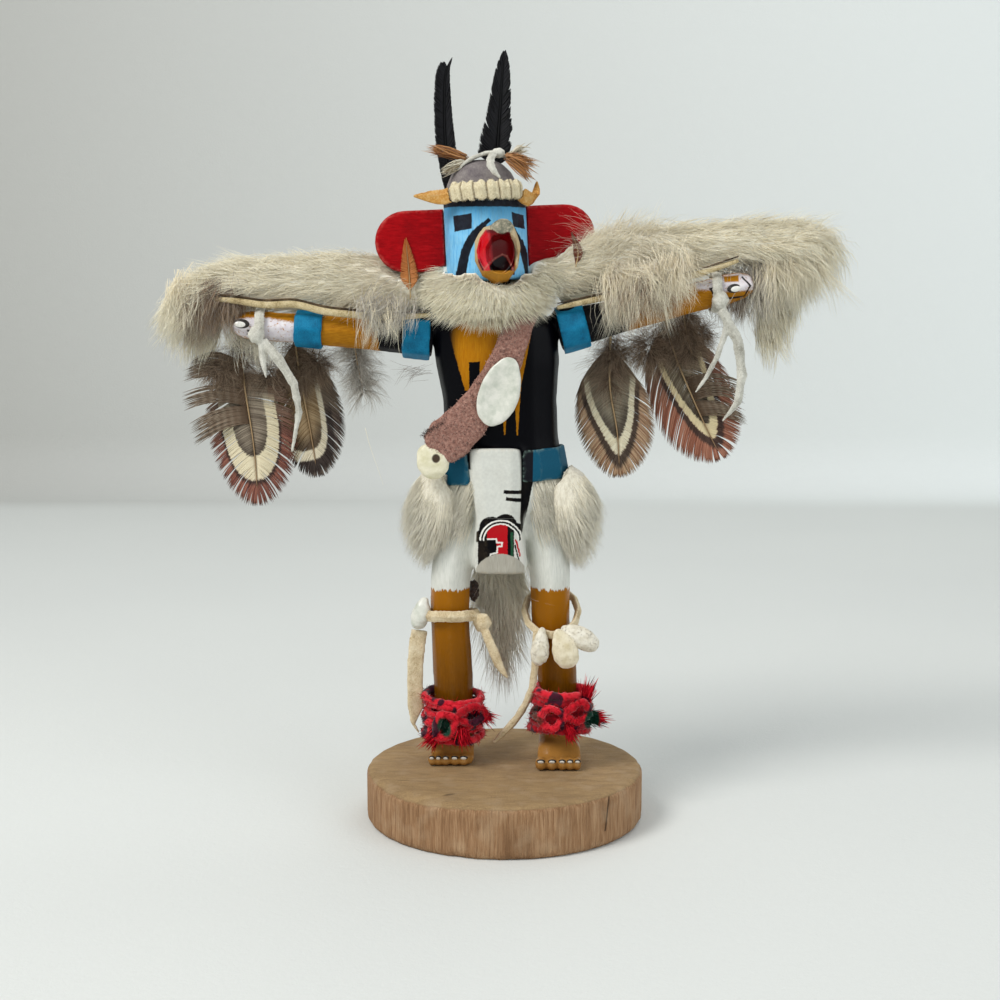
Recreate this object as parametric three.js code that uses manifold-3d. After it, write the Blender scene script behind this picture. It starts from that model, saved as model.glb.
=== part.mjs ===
// A carved and painted kachina doll on a round wooden slab, dressed with fur, feathers, shells and thongs.
// Millimetres, +Z up. The figure faces -Y, so its own right side is at -X and its own left side at +X.
// The origin is the centre of the slab's underside.

import * as THREE from 'three';
import { mergeVertices } from 'three/addons/utils/BufferGeometryUtils.js';
import Module from 'manifold-3d';

const wasm = await Module();
wasm.setup();

// Driving dimensions, in millimetres. Heights in the figure are above the slab's top.

const gap = 0.3; // clearance between two pieces that touch

const slabRadius = 46;
const slabHeight = 16.9;
const slabEdge = 1.1;

const backY = 8; // the figure stands this far behind the slab's centre
const waistZ = 112;
const shoulderZ = 143;
const neckZ = 160;
const neckX = -5.3;
const neckRadius = 8;

const ankleX = { right: -17, left: 18.6 };
const kneeX = { right: -18.3, left: 15.4 };
const hipX = { right: -12, left: 12.5 };
const calfRadius = 6.8;
const toeY = { right: -1, left: -6.6 };
const footHalfWidth = 7.6;
const toeHeight = 3.7;

const armRadius = 5.2;
const upperArmRadius = 6.4;
const armReach = { right: -88.4, left: 80.5 }; // finger tips, along X
const armRootX = { right: -23.6, left: 17.6 }; // where each arm is glued to the shoulder
const armRootZ = { right: 142, left: 143.8 };
const armTipZ = { right: 146.2, left: 159.6 };
const armY = 6;

const headRadius = 13.4;
const headHeight = 27;
const domeRadius = 11.9;
const domeHeight = 12;
const headSeat = [neckX, 7, 160.3];
const headLean = THREE.MathUtils.degToRad(-2.7);
const headTurn = THREE.MathUtils.degToRad(7);

const tabletLength = 22.8;
const tabletHalfHeight = 9.9;
const tabletThickness = 3.6;

const strapThickness = 1.1;
const beltHeight = 10.5;
const armBandWidth = 9.4;
const shoulderBandX = { right: -28.6, left: 22.4 };
const wristBandX = -63.6;
const peltDepth = 9.5;
const featherThickness = 0.9;

// Colours and finishes

const finishes = {
  slabWood: [0xa58258, 0.75],
  blackPaint: [0x0a0c16, 0.45],
  ochrePaint: [0x96600a, 0.35],
  whitePaint: [0xd8d6cc, 0.6],
  bluePaint: [0x2f86b8, 0.5],
  maskBlue: [0x6fb2dc, 0.5],
  redPaint: [0xa0060c, 0.35],
  fur: [0xe0d8c2, 0.9],
  whiteFur: [0xd8d5cc, 0.9],
  pinkSuede: [0xa5736e, 0.95],
  paleLeather: [0xcdb992, 0.85],
  shell: [0xe9e4d6, 0.35],
  bone: [0xdccfa8, 0.7],
  husk: [0xc98d3c, 0.7],
  brownFeather: [0x8a6a50, 0.8],
  blackFeather: [0x101013, 0.6],
  redYarn: [0xb4101c, 0.95],
  darkBead: [0x2c201a, 0.6],
};

// Shape tools

const v = (x, y, z) => new THREE.Vector3(x, y, z);
const lerp = THREE.MathUtils.lerp;

// A watertight solid from a closed geometry: position alone, shared vertices merged, faces outward.
function solidOf(geometry) {
  const bare = geometry.clone();
  for (const name of Object.keys(bare.attributes)) {
    if (name !== 'position') bare.deleteAttribute(name);
  }
  const welded = mergeVertices(bare, 1e-4);
  const points = welded.attributes.position;
  const triangles = [];
  let volume = 0;
  for (let i = 0; i < welded.index.count; i += 3) {
    const [a, b, c] = [0, 1, 2].map((k) => welded.index.getX(i + k));
    if (a === b || b === c || c === a) continue;
    triangles.push([a, b, c]);
    const [p, q, r] = [a, b, c].map((k) => new THREE.Vector3().fromBufferAttribute(points, k));
    volume += p.dot(q.cross(r));
  }
  const outward = volume > 0 ? triangles : triangles.map(([a, b, c]) => [a, c, b]);
  return new wasm.Manifold(new wasm.Mesh({
    numProp: 3,
    vertProperties: Float32Array.from(points.array),
    triVerts: Uint32Array.from(outward.flat()),
  }));
}

function geometryOf(solid) {
  const mesh = solid.getMesh();
  const geometry = new THREE.BufferGeometry();
  geometry.setAttribute('position', new THREE.Float32BufferAttribute(mesh.vertProperties, mesh.numProp));
  geometry.setIndex(new THREE.Uint32BufferAttribute(mesh.triVerts, 1));
  geometry.computeVertexNormals();
  return geometry;
}

const join = (first, ...others) => others.reduce((sum, other) => sum.add(other), first);

// What is left of a solid beside its neighbours, as one body with no sealed hollow.
function beside(solid, ...neighbours) {
  const left = neighbours.reduce((rest, neighbour) => rest.subtract(neighbour), solid);
  return left.decompose().sort((a, b) => b.volume() - a.volume())[0];
}

// A closed form through a row of sections. Each has a centre and two half axes; `square` above 2 squares
// the section off, `turn` starts it at another angle, `grow` fattens the form by a clearance, and `lobes`
// swells or dents it by angle and by place along the row, from 0 to 1.
function loft(sections, sides, { square = 2, turn = 0, grow = 0, lobes = () => 1 } = {}) {
  const last = sections.length - 1;
  const fatter = (axis) => axis.clone().setLength(axis.length() + grow);
  const positions = [];
  const index = [];
  sections.forEach((section, i) => {
    const ahead = v(0, 0, 0);
    if (i === 0) ahead.subVectors(sections[0].at, sections[1].at).setLength(grow);
    if (i === last) ahead.subVectors(sections[last].at, sections[last - 1].at).setLength(grow);
    const centre = section.at.clone().add(ahead);
    for (let j = 0; j < sides; j++) {
      const angle = (j / sides) * 2 * Math.PI + turn;
      const [c, s] = [Math.cos(angle), Math.sin(angle)];
      const reach = lobes(angle, i / last);
      const [u, w] = [c, s].map((k) => reach * Math.sign(k) * Math.abs(k) ** (2 / square));
      const point = centre.clone().addScaledVector(fatter(section.a), u).addScaledVector(fatter(section.b), w);
      positions.push(...point.toArray());
    }
    if (i === 0) section.cap = centre;
    if (i === last) section.cap = centre;
  });
  positions.push(...sections[0].cap.toArray(), ...sections[last].cap.toArray());
  const [startCap, endCap] = [(last + 1) * sides, (last + 1) * sides + 1];
  for (let j = 0; j < sides; j++) {
    const k = (j + 1) % sides;
    index.push(startCap, k, j, endCap, last * sides + j, last * sides + k);
    for (let i = 0; i < last; i++) {
      const [p, q, r, s] = [i * sides + j, i * sides + k, (i + 1) * sides + j, (i + 1) * sides + k];
      index.push(p, q, r, q, s, r);
    }
  }
  const geometry = new THREE.BufferGeometry();
  geometry.setAttribute('position', new THREE.Float32BufferAttribute(positions, 3));
  geometry.setIndex(index);
  return geometry;
}

// Rows of numbers read off a smooth curve through the given rows.
function smooth(rows, steps) {
  const span = rows.length - 1;
  return Array.from({ length: steps + 1 }, (_, n) => {
    const place = Math.min((n / steps) * span, span - 1e-9);
    const i = Math.floor(place);
    const t = place - i;
    const [p, q, r, s] = [i - 1, i, i + 1, i + 2].map((k) => rows[THREE.MathUtils.clamp(k, 0, span)]);
    return q.map((value, k) => 0.5 * (2 * value + (r[k] - p[k]) * t
      + (2 * p[k] - 5 * value + 4 * r[k] - s[k]) * t * t + (3 * value - p[k] - 3 * r[k] + s[k]) * t ** 3));
  });
}

// A limb, strap, tuft or feather along a spine. Rows are x, y, z, half width, half depth; the width lies
// along `side` as nearly as the spine lets it.
function limb(rows, sides, side, options = {}) {
  const places = rows.map(([x, y, z]) => v(x, y, z));
  const last = rows.length - 1;
  const sections = rows.map(([, , , width, depth], i) => {
    const ahead = places[Math.min(i + 1, last)].clone().sub(places[Math.max(i - 1, 0)]).normalize();
    const b = new THREE.Vector3().crossVectors(ahead, side).normalize();
    const a = new THREE.Vector3().crossVectors(b, ahead).normalize();
    return { at: places[i], a: a.multiplyScalar(width), b: b.multiplyScalar(depth) };
  });
  return loft(sections, sides, options);
}

// Upright forms: rows are z, centre x, half width, centre y, half depth.
function column(rows, sides, options) {
  const sections = rows.map(([z, x, width, y, depth]) => ({ at: v(x, y, z), a: v(width, 0, 0), b: v(0, depth, 0) }));
  return loft(sections, sides, options);
}

function block(size, centre, rotation = [0, 0, 0]) {
  const geometry = new THREE.BoxGeometry(...size);
  geometry.applyMatrix4(new THREE.Matrix4().makeRotationFromEuler(new THREE.Euler(...rotation)));
  return geometry.translate(...centre);
}

function pebble(centre, radii, [around, up] = [8, 5], rotation = [0, 0, 0]) {
  const geometry = new THREE.SphereGeometry(1, around, up).scale(...radii);
  geometry.applyMatrix4(new THREE.Matrix4().makeRotationFromEuler(new THREE.Euler(...rotation)));
  return geometry.translate(...centre);
}

// A hoop about an axis: an oval section of a half height and half thickness, turned on a lathe.
function hoop(radius, halfHeight, halfThickness, turns, { lobes = () => 1, sides = 6 } = {}) {
  const profile = Array.from({ length: sides + 1 }, (_, i) => {
    const angle = ((i % sides) / sides) * 2 * Math.PI;
    return new THREE.Vector2(radius + halfThickness * Math.cos(angle), halfHeight * Math.sin(angle));
  });
  const geometry = new THREE.LatheGeometry(profile, turns).rotateX(Math.PI / 2);
  const points = geometry.attributes.position;
  for (let i = 0; i < points.count; i++) {
    const [x, y, z] = [points.getX(i), points.getY(i), points.getZ(i)];
    const distance = Math.hypot(x, y);
    const swell = lobes(Math.atan2(y, x));
    const reach = (radius + (distance - radius) * swell) / distance;
    points.setXYZ(i, x * reach, y * reach, z * swell);
  }
  return geometry;
}

// The slab

function slabSolid() {
  const profile = [[0, 0], [slabRadius - slabEdge, 0], [slabRadius, slabEdge], [slabRadius, slabHeight - slabEdge],
    [slabRadius - slabEdge * 1.4, slabHeight], [0, slabHeight]].map(([r, z]) => new THREE.Vector2(r, z));
  const disc = solidOf(new THREE.LatheGeometry(profile, 32).rotateX(Math.PI / 2));
  const nick = solidOf(block([40, 8, 14], [-38, -39.5, slabHeight + 2.5], [0.6, 0, -0.75]));
  return disc.subtract(nick);
}

// The body: torso, sash, legs and feet are one carving. Heights are above the slab's top.

function torso(grow = 0) {
  return solidOf(column(smooth([
    [76, -0.6, 12, backY + 1, 8], [86, -0.5, 19.6, backY + 0.5, 11], [96, -0.2, 20.4, backY, 12],
    [104, -0.8, 19.4, backY, 11.6], [waistZ, -1.2, 18.8, backY, 11], [123, -1.6, 18.9, backY, 11],
    [133, -2.3, 20.4, backY, 11], [shoulderZ, -3, 21, backY, 10.8], [149, -3.6, 18.6, backY - 0.2, 9.6],
    [153.6, -4.7, 11.5, backY - 0.6, 8], [156.5, neckX, neckRadius, 7, 7.4], [neckZ, neckX, neckRadius, 7, 7.4],
  ], 9), 12, { square: 2.5, grow }));
}

function leg(side, grow = 0) {
  return solidOf(column(smooth([
    [0, ankleX[side], calfRadius, backY - 1.2, 7], [9, ankleX[side], calfRadius - 0.3, backY - 0.6, 6.8],
    [22, ankleX[side], calfRadius, backY, 7], [36, lerp(ankleX[side], kneeX[side], 0.5), calfRadius + 0.1, backY + 0.2, 7.3],
    [48, kneeX[side], calfRadius - 0.2, backY - 0.4, 7.2], [58, kneeX[side], calfRadius - 0.1, backY - 1, 7.8],
    [70, lerp(kneeX[side], hipX[side], 0.2), calfRadius + 0.4, backY - 0.8, 8.8],
    [80, lerp(kneeX[side], hipX[side], 0.62), calfRadius + 1.2, backY, 9.6], [92, hipX[side], 7.8, backY, 10],
  ], 6), 8, { grow }));
}

// A wedge of a foot, with four grooves that part the toes.
function foot(side, grow = 0) {
  const [x, toes, step] = [ankleX[side] - 0.4, toeY[side], (2 * footHalfWidth) / 5];
  const wedge = solidOf(limb([
    [x, backY + 8.4, 4, 4, 4.5], [x, backY + 3, 5, 6.6, 5.6], [x, lerp(backY, toes, 0.55), 3.6, 7.4, 4.8],
    [x, toes + 3, 2, footHalfWidth, toeHeight - 1.4], [x, toes, 1.2, footHalfWidth - 0.6, toeHeight - 1.9],
  ], 8, v(1, 0, 0), { square: 2.8, turn: Math.PI / 8, grow }));
  const sole = solidOf(block([80, 80, 40], [0, 0, -20 - grow]));
  const grooves = grow ? [] : [-1.5, -0.5, 0.5, 1.5].map((n) => solidOf(
    block([0.9, 6, 9], [x + n * step, toes + 0.6, toeHeight + 1.2], [-0.5, Math.PI / 4, 0])));
  return [sole, ...grooves].reduce((rest, cutter) => rest.subtract(cutter), wedge);
}

// The sash hangs in front as a crowned panel, cut off below by a flat bevel.
function sash(grow = 0) {
  const panel = solidOf(column([
    [65.6, -1.3, 9.2, 1.4, 8], [72, -1.6, 8.7, 1.2, 8.2], [83.7, -2, 7.7, 1, 8.3],
    [95, -2.6, 9, 1.2, 8], [106.4, -3.1, 9.8, 1.6, 7.6],
  ], 10, { square: 3.6, grow }));
  const bevel = solidOf(block([30, 14, 30], [0, -12.4, 59], [0.86, 0, 0]));
  return grow ? panel : panel.subtract(bevel);
}

function bodyForm(grow = 0) {
  const forms = ['right', 'left'].flatMap((side) => [leg(side, grow), foot(side, grow)]);
  return join(torso(grow), ...forms, sash(grow));
}

// The arms are carved apart and glued on at the shoulders.

function armRows(side) {
  const [rootX, rootZ, tipX, tipZ] = [armRootX[side], armRootZ[side], armReach[side], armTipZ[side]];
  const at = (t) => [lerp(rootX, tipX, t), lerp(backY, armY - 1, Math.min(t * 1.6, 1)), lerp(rootZ, tipZ, t)];
  return smooth([
    [...at(0), upperArmRadius + 0.3, upperArmRadius + 0.8], [...at(0.14), upperArmRadius - 0.2, upperArmRadius],
    [...at(0.36), armRadius + 0.2, armRadius + 0.4], [...at(0.56), armRadius - 0.1, armRadius],
    [...at(0.72), armRadius - 0.6, armRadius - 0.5], [...at(0.83), armRadius - 0.3, armRadius - 0.2],
    [...at(0.92), armRadius - 0.5, armRadius - 0.8], [...at(0.985), armRadius - 1.9, armRadius - 2.4],
    [...at(1), armRadius - 3.6, armRadius - 3.8],
  ], 9);
}

function armShaft(side, grow = 0) {
  return solidOf(limb(armRows(side), 8, v(0, 0, 1), { grow }));
}

// A closed hand with its thumb laid along the front.
function armForm(side, grow = 0) {
  const [sign, x, z] = [Math.sign(armReach[side]), armReach[side], armTipZ[side]];
  const rise = (armTipZ[side] - armRootZ[side]) / (armReach[side] - armRootX[side]);
  const thumb = limb([
    [x - sign * 7.6, armY - 4.2, z - 1 - sign * 7.6 * rise, 1.5 + grow, 1.5 + grow],
    [x - sign * 4.4, armY - 5.2, z - 0.4 - sign * 4.4 * rise, 1.8 + grow, 1.6 + grow],
    [x - sign * 0.6, armY - 4.6, z - 0.2, 1.2 + grow, 1.1 + grow],
  ], 5, v(0, 0, 1));
  return join(armShaft(side, grow), solidOf(thumb));
}

// The head stands on the neck, leaning and turned a little. Its pieces are shaped in the head's own frame.

const headPose = new THREE.Matrix4().makeRotationFromEuler(new THREE.Euler(0, headLean, headTurn, 'XYZ'))
  .setPosition(...headSeat);
const onHead = (geometry) => solidOf(geometry.applyMatrix4(headPose));

function headForm(grow = 0) {
  return onHead(column([
    [0, 0, headRadius - 0.5, 0, headRadius - 0.5], [0.6, 0, headRadius, 0, headRadius],
    [headHeight - 0.6, 0, headRadius, 0, headRadius], [headHeight, 0, headRadius - 0.5, 0, headRadius - 0.5],
    ...[0, 0.3, 0.6, 0.82, 0.95].map((t) => [
      headHeight + 0.01 + domeHeight * t, -0.6, domeRadius * Math.sqrt(1 - t ** 2.2), 0.4, domeRadius * Math.sqrt(1 - t ** 2.2),
    ]),
  ], 16, { grow }));
}

// The beak gapes: an egg-shaped horn hollowed from the front, with a knob at its upper tip.
function beakForm(grow = 0) {
  const rows = smooth([
    [2.6, -11.4, 9, 7.6, 10.8], [3, -15, 9.6, 7.1, 9.9], [3.4, -18.6, 11.6, 6, 7.8], [3.8, -21.6, 14.8, 4.2, 4.6],
    [4, -23.8, 16.2, 2.9, 3],
  ], 6);
  const horn = onHead(limb(rows, 11, v(1, 0, 0), { grow }));
  if (grow) return horn;
  const mouth = onHead(limb(smooth([
    [3, -13, 8.6, 2.6, 3], [3.2, -17, 8.2, 4.4, 5.6], [3.4, -20, 8, 5.4, 6.6], [3.6, -27, 7.4, 6.6, 7],
  ], 4), 9, v(1, 0, 0)));
  return beside(horn, mouth);
}

function tabletForm(side, grow = 0) {
  const sign = side === 'right' ? -1 : 1;
  const outline = new THREE.Shape();
  const straight = tabletLength - tabletHalfHeight;
  outline.moveTo(-3, -tabletHalfHeight - grow);
  outline.lineTo(straight, -tabletHalfHeight - grow);
  outline.absarc(straight, 0, tabletHalfHeight + grow, -Math.PI / 2, Math.PI / 2, false);
  outline.lineTo(-3, tabletHalfHeight + grow);
  const plate = new THREE.ExtrudeGeometry(outline, {
    depth: tabletThickness + 2 * grow - 0.8, curveSegments: 7,
    bevelThickness: 0.4, bevelSize: 0.4, bevelOffset: -0.4, bevelSegments: 1,
  });
  plate.translate(0, 0, -(tabletThickness - 0.8) / 2 - grow).rotateX(Math.PI / 2);
  plate.scale(sign, 1, 1).translate(sign * (headRadius - 0.2), 2, 13.6);
  return onHead(plate);
}

function browBandForm(grow = 0) {
  const rows = Array.from({ length: 25 }, (_, i) => {
    const t = i / 24;
    const angle = lerp(-0.86, 0.72, t) - Math.PI / 2;
    const bulge = 1 - 0.26 * Math.abs(Math.cos(t * 8 * Math.PI)) ** 6;
    const radius = headRadius + 2.05;
    return [radius * Math.cos(angle), radius * Math.sin(angle), 28, 3.5 * bulge, 1.7 * bulge];
  });
  return onHead(limb(rows, 5, v(0, 0, 1), { square: 2.4, grow }));
}

function browLeafSolid(side) {
  const rows = side === 'right'
    ? [[-10.8, -11.6, 27.6, 2.6, 0.9], [-14, -9.6, 26.6, 2.8, 0.9], [-18, -8, 27, 2.2, 0.8], [-23.4, -7, 27.6, 0.4, 0.4]]
    : [[10.4, -12, 26.4, 2.6, 0.9], [13.2, -9.6, 24.8, 2.7, 0.9], [15.6, -7.6, 26.2, 2.1, 0.8], [16.4, -6.6, 30.6, 0.4, 0.4]];
  return onHead(limb(smooth(rows, 6), 5, side === 'right' ? v(0, 0, 1) : v(0.8, 0, 1)));
}

// Feathers: a flat vane whose half width swells and closes along the quill.
function feather(rows, side, { splits = 0, depth = 0, grow = 0 } = {}) {
  const lobes = (angle, t) => 1 - (splits ? depth * Math.abs(Math.sin(t * splits * Math.PI)) ** 4 : 0);
  return limb(rows.map(([x, y, z, width]) => [x, y, z, width, featherThickness / 2]), 4, side, { lobes, grow });
}

// Crown feathers, thong and tufts stand in the figure's frame.

const crownFeatherRows = {
  right: [[-18.6, 15, 186.2, 1.6], [-19.4, 16, 196, 3.4], [-19.6, 16, 209, 3.7], [-20.9, 16, 219, 3], [-20.6, 16, 228, 1.6],
    [-19.2, 16, 232.2, 0.3]],
  left: [[-2.2, 10.5, 196, 1.4], [-1.8, 10.4, 204, 6], [-1.7, 10.2, 210, 4.9], [-1.2, 10, 218, 3.4], [-0.6, 10, 227, 1.9],
    [-0.2, 10, 233.6, 0.3]],
};

function crownFeatherForm(side, grow = 0) {
  return solidOf(feather(smooth(crownFeatherRows[side], 14), v(1, 0.15, 0), { splits: 8, depth: 0.16, grow }));
}

function crownThongForm(grow = 0) {
  const band = limb(smooth([
    [-15.4, 3, 194.4, 1.3, 0.8], [-12, 2.6, 198.2, 1.3, 0.8], [-6, 2.4, 200.6, 1.3, 0.8], [-1.4, 2, 200.4, 1.3, 0.8],
    [3.6, 2, 197.4, 1.2, 0.8],
  ], 6), 5, v(0, 1, 0), { grow });
  const hanging = limb(smooth([
    [-2.6, 1.4, 201, 1.3, 0.7], [-4.4, -2.6, 199, 1.6, 0.7], [-4.2, -5.2, 195.6, 1.5, 0.7], [-1.4, -6.2, 192.2, 0.5, 0.4],
  ], 5), 4, v(1, 0, 0), { grow });
  const knot = pebble([-2, 1.2, 200.6], [2.4 + grow, 1.8 + grow, 1.8 + grow], [7, 5]);
  return join(solidOf(band), solidOf(hanging), solidOf(knot));
}

function crownTuftSolid(side) {
  const spray = side === 'right'
    ? [[[-12.4, 2, 199.4, 1.4, 1.2], [-17, 1, 201.4, 2.2, 1.4], [-24, 0, 203.2, 0.4, 0.4]],
      [[-12.4, 2.4, 199, 1.4, 1.2], [-17, 1.4, 197.4, 2.6, 1.4], [-20.6, 1, 194.8, 1.2, 0.8]]]
    : [[[-0.6, 3.4, 201.2, 1.2, 1.1], [5.4, 2, 199.4, 1.9, 1.2], [12, 1, 197.6, 0.4, 0.4]],
      [[-0.6, 3.4, 200.8, 1.2, 1.1], [5, 1.6, 197, 1.8, 1.2], [11.2, 0.6, 191.8, 0.4, 0.4]]];
  return join(...spray.map((rows) => solidOf(limb(smooth(rows, 4), 4, v(0, 0, 1)))));
}

function earFeatherSolid(side) {
  const x = side === 'right' ? -31 : 22.4;
  const y = side === 'right' ? 3.6 : 2.4;
  return solidOf(feather(smooth([
    [x + 0.8, y, 153.4, 0.5], [x + 0.4, y, 160, 0.6], [x, y, 163.4, 3], [x - 0.4, y, 167, 2.6], [x - 1.2, y, 174.4, 0.3],
  ], 10), v(1, 0, 0)));
}

// Fur pieces are carved as soft masses whose surface breaks into locks.

const locks = (count, depth, turns = 3) => (angle, t) => 1 + depth * Math.sin(count * angle + turns * 2 * Math.PI * t)
  * Math.sin(turns * 2.3 * Math.PI * t + 2 * angle);

function ruffForm(grow = 0) {
  return solidOf(column(smooth([
    [145.4, neckX, 6, 5, 7], [147.4, neckX, 15, 4.5, 12], [152, neckX - 0.2, 20.4, 4.8, 15], [157, neckX - 0.3, 21.6, 5.2, 16.4],
    [161.4, neckX - 0.2, 19.2, 6, 15.6], [164.6, neckX, 14.4, 6.6, 13.4],
  ], 5), 13, { grow, lobes: locks(6, 0.07, 1) }));
}

const peltRows = {
  right: [[-20, 10, 155.5, 8, 7], [-34, 10.4, 158.6, 10, peltDepth], [-52, 10.6, 159.6, 9.6, peltDepth],
    [-72, 10.6, 159.4, 9.2, peltDepth], [-92, 10.4, 158, 9.8, peltDepth + 0.6], [-103, 10, 151.6, 10.5, peltDepth],
    [-109, 9, 147, 6, 5]],
  left: [[14, 10, 158, 8, 7], [28, 10.4, 164.6, 11.4, peltDepth], [46, 10.6, 167.8, 10.6, peltDepth],
    [64, 10.6, 170.6, 9, peltDepth], [82, 10.8, 172.6, 9, peltDepth], [97, 11, 170, 10, peltDepth],
    [108.5, 10, 173.6, 5, 5]],
};

// The pelt's outer end falls behind the hand.
const peltFallRows = {
  right: [[-97, 12, 157, 9, 6], [-99, 12.6, 147, 9, 5.6], [-98, 12.4, 139.4, 6, 3.4]],
  left: [[91, 12.6, 170, 9.4, 6], [89, 13, 154, 8.6, 5.4], [86.6, 12.8, 138.6, 5, 3]],
};

function peltForm(side, grow = 0) {
  const along = limb(smooth(peltRows[side], 10), 8, v(0, 0, 1), { grow, lobes: locks(4, 0.09, 4) });
  const fall = limb(smooth(peltFallRows[side], 3), 7, v(1, 0, 0), { grow, lobes: locks(4, 0.08, 2) });
  return join(solidOf(along), solidOf(fall));
}

function hipFurForm(side, grow = 0) {
  const x = side === 'right' ? -22 : 20.4;
  return solidOf(limb(smooth([
    [x * 0.84, 7, 99, 5.6, 8], [x, 6.4, 92.6, 9.6, 12], [x * 1.04, 6, 82.6, 10, 12.6], [x * 1.05, 6.4, 74.6, 7, 9],
    [x * 1.03, 7, 69.8, 2.4, 3.4],
  ], 6), 9, v(1, 0, 0), { grow, lobes: locks(4, 0.08, 2) }));
}

function tailFurForm(grow = 0) {
  return solidOf(limb(smooth([
    [-1, 21.5, 98, 6, 3], [-1.4, 22.6, 88, 9, 3.6], [-1.6, 22.4, 72, 10.4, 4], [-1.4, 21.4, 54, 10, 3.6],
    [-1, 20.4, 41, 7, 2.4], [-0.6, 20, 31, 2.4, 1],
  ], 7), 8, v(1, 0, 0), { grow, lobes: locks(4, 0.09, 2) }));
}

// Wing feathers hang from the pelts: quill root, swelling vane, round tip.

const wingFeatherRows = {
  right_1: [[-86, 14.6, 142, 4], [-86, 14.4, 131, 11.5], [-84.4, 13.8, 112, 14.6], [-83.4, 13.2, 98, 14.2], [-83, 12.8, 89.6, 10.6],
    [-82.8, 12.6, 85.4, 2.6]],
  right_2: [[-67.6, 17.2, 144, 4], [-66.4, 17, 132, 9.6], [-63.6, 16.6, 113, 12], [-62.6, 16.2, 103, 11], [-62.4, 16, 96.4, 8],
    [-62.4, 16, 94.6, 2.6]],
  right_3: [[-45, 14, 142.6, 5], [-44.6, 14, 133, 9], [-44, 14, 122, 6], [-43.4, 14, 117.6, 1.2]],
  left_1: [[34.6, 14.2, 143, 4], [35.6, 14.2, 132, 11], [38, 13.8, 113, 13.6], [38.8, 13.4, 103, 11.6], [38.8, 13.2, 97, 6.6],
    [38.8, 13.2, 94.8, 2]],
  left_2: [[54, 17, 147, 4], [58.6, 17, 134, 10], [67, 16.6, 116, 12.6], [70, 16.2, 108, 11], [71.4, 16, 102.4, 7],
    [72, 16, 100.6, 2]],
  left_3: [[60, 13.4, 149, 3], [61, 13.4, 142, 8.6], [62.4, 13.4, 135, 8], [63, 13.4, 131.4, 2]],
};

function wingFeatherSolid(name) {
  return solidOf(feather(smooth(wingFeatherRows[name], 11), v(1, 0.12, 0), { splits: 9, depth: 0.07 }));
}

// Painted leather bands, straps and thongs

// A band around an arm, square to the arm's axis.
function armBand(side, at, width) {
  const rows = armRows(side);
  const axis = v(...rows[rows.length - 1].slice(0, 3)).sub(v(...rows[0].slice(0, 3))).normalize();
  const rise = Math.atan2(axis.z, Math.abs(axis.x)) * Math.sign(axis.x);
  const z = lerp(armRootZ[side], armTipZ[side], (at - armRootX[side]) / (armReach[side] - armRootX[side]));
  const window = solidOf(block([width, 40, 40], [at, armY, z], [0, -rise, 0]));
  return armShaft(side, gap + strapThickness).intersect(window).subtract(armShaft(side, gap));
}

function beltForm(grow = 0) {
  const window = solidOf(block([80, 60, beltHeight + 2 * grow], [0, backY, 100.2], [0, THREE.MathUtils.degToRad(-3.4), 0]));
  return torso(gap + strapThickness + grow).intersect(window);
}

function chestStrapForm(grow = 0) {
  return solidOf(limb(smooth([
    [11.4, 12, 152.6, 5, 0.9], [10.6, 2, 154.6, 5, 0.9], [6.4, -3.2, 148.6, 5.2, 0.9], [0.6, -4.6, 136, 5.6, 0.9],
    [-6.4, -4.8, 124, 6.4, 0.9], [-14, -4.4, 113.6, 7.6, 0.9], [-21.6, -2.6, 106.6, 7.2, 0.9], [-25.6, -1, 103.6, 4.6, 0.7],
  ], 10), 6, v(1, 0, 0.6), { square: 4, grow }));
}

// A dished shell: a thin bowl set on its rim, open side outward.
function dishedShell(centre, radii, rotation) {
  const [rx, ry, rz] = radii;
  const bowl = solidOf(pebble(centre, radii, [9, 6], rotation));
  const hollow = solidOf(pebble([centre[0], centre[1] - ry * 0.75, centre[2]], [rx * 0.84, ry * 0.95, rz * 0.84], [8, 5], rotation));
  return bowl.subtract(hollow);
}

function garterHoop(x, z, tilt, grow) {
  const ring = hoop(calfRadius + 2.2, 2.1 + grow, 1.3 + grow, 12, { sides: 4 }).scale(1, 1 / Math.cos(tilt), 1).rotateX(tilt).translate(x, backY - 0.4, z);
  return solidOf(ring);
}

const garterRightX = kneeX.right + 0.2;

function garterThongRightForm(grow = 0) {
  const ring = garterHoop(garterRightX, 49.4, -0.12, grow);
  const knot = solidOf(pebble([-7.4, 4, 47.4], [3.4 + grow, 2.6 + grow, 3.6 + grow], [6, 5]));
  const tail = solidOf(limb(smooth([
    [-7, 3, 46, 1.6, 0.8], [-4.8, 1.6, 41, 1.7, 0.8], [-2, 1.4, 34, 1.7, 0.8], [1, 1.6, 29.2, 0.5, 0.4],
  ], 6), 6, v(1, 0, 0), { grow }));
  return join(ring, knot, tail);
}

// The left garter sags to a point in front, and its long end trails down past the heel of the other foot.
function garterThongLeftForm(grow = 0) {
  const ring = garterHoop(kneeX.left + 0.3, 50.6, 0.62, grow);
  const tail = solidOf(limb(smooth([
    [10.6, -1.2, 45.4, 1.5, 1.3], [10, -1.4, 34, 1.4, 1.2], [8.8, -0.8, 25, 1.4, 1.2], [4.8, 0.6, 16.6, 1.4, 1.2],
    [0, 2.2, 10.4, 1.4, 1.2], [-3.6, 3.4, 6.6, 0.8, 0.8],
  ], 8), 5, v(1, 0, 0), { grow }));
  return join(ring, tail);
}

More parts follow.
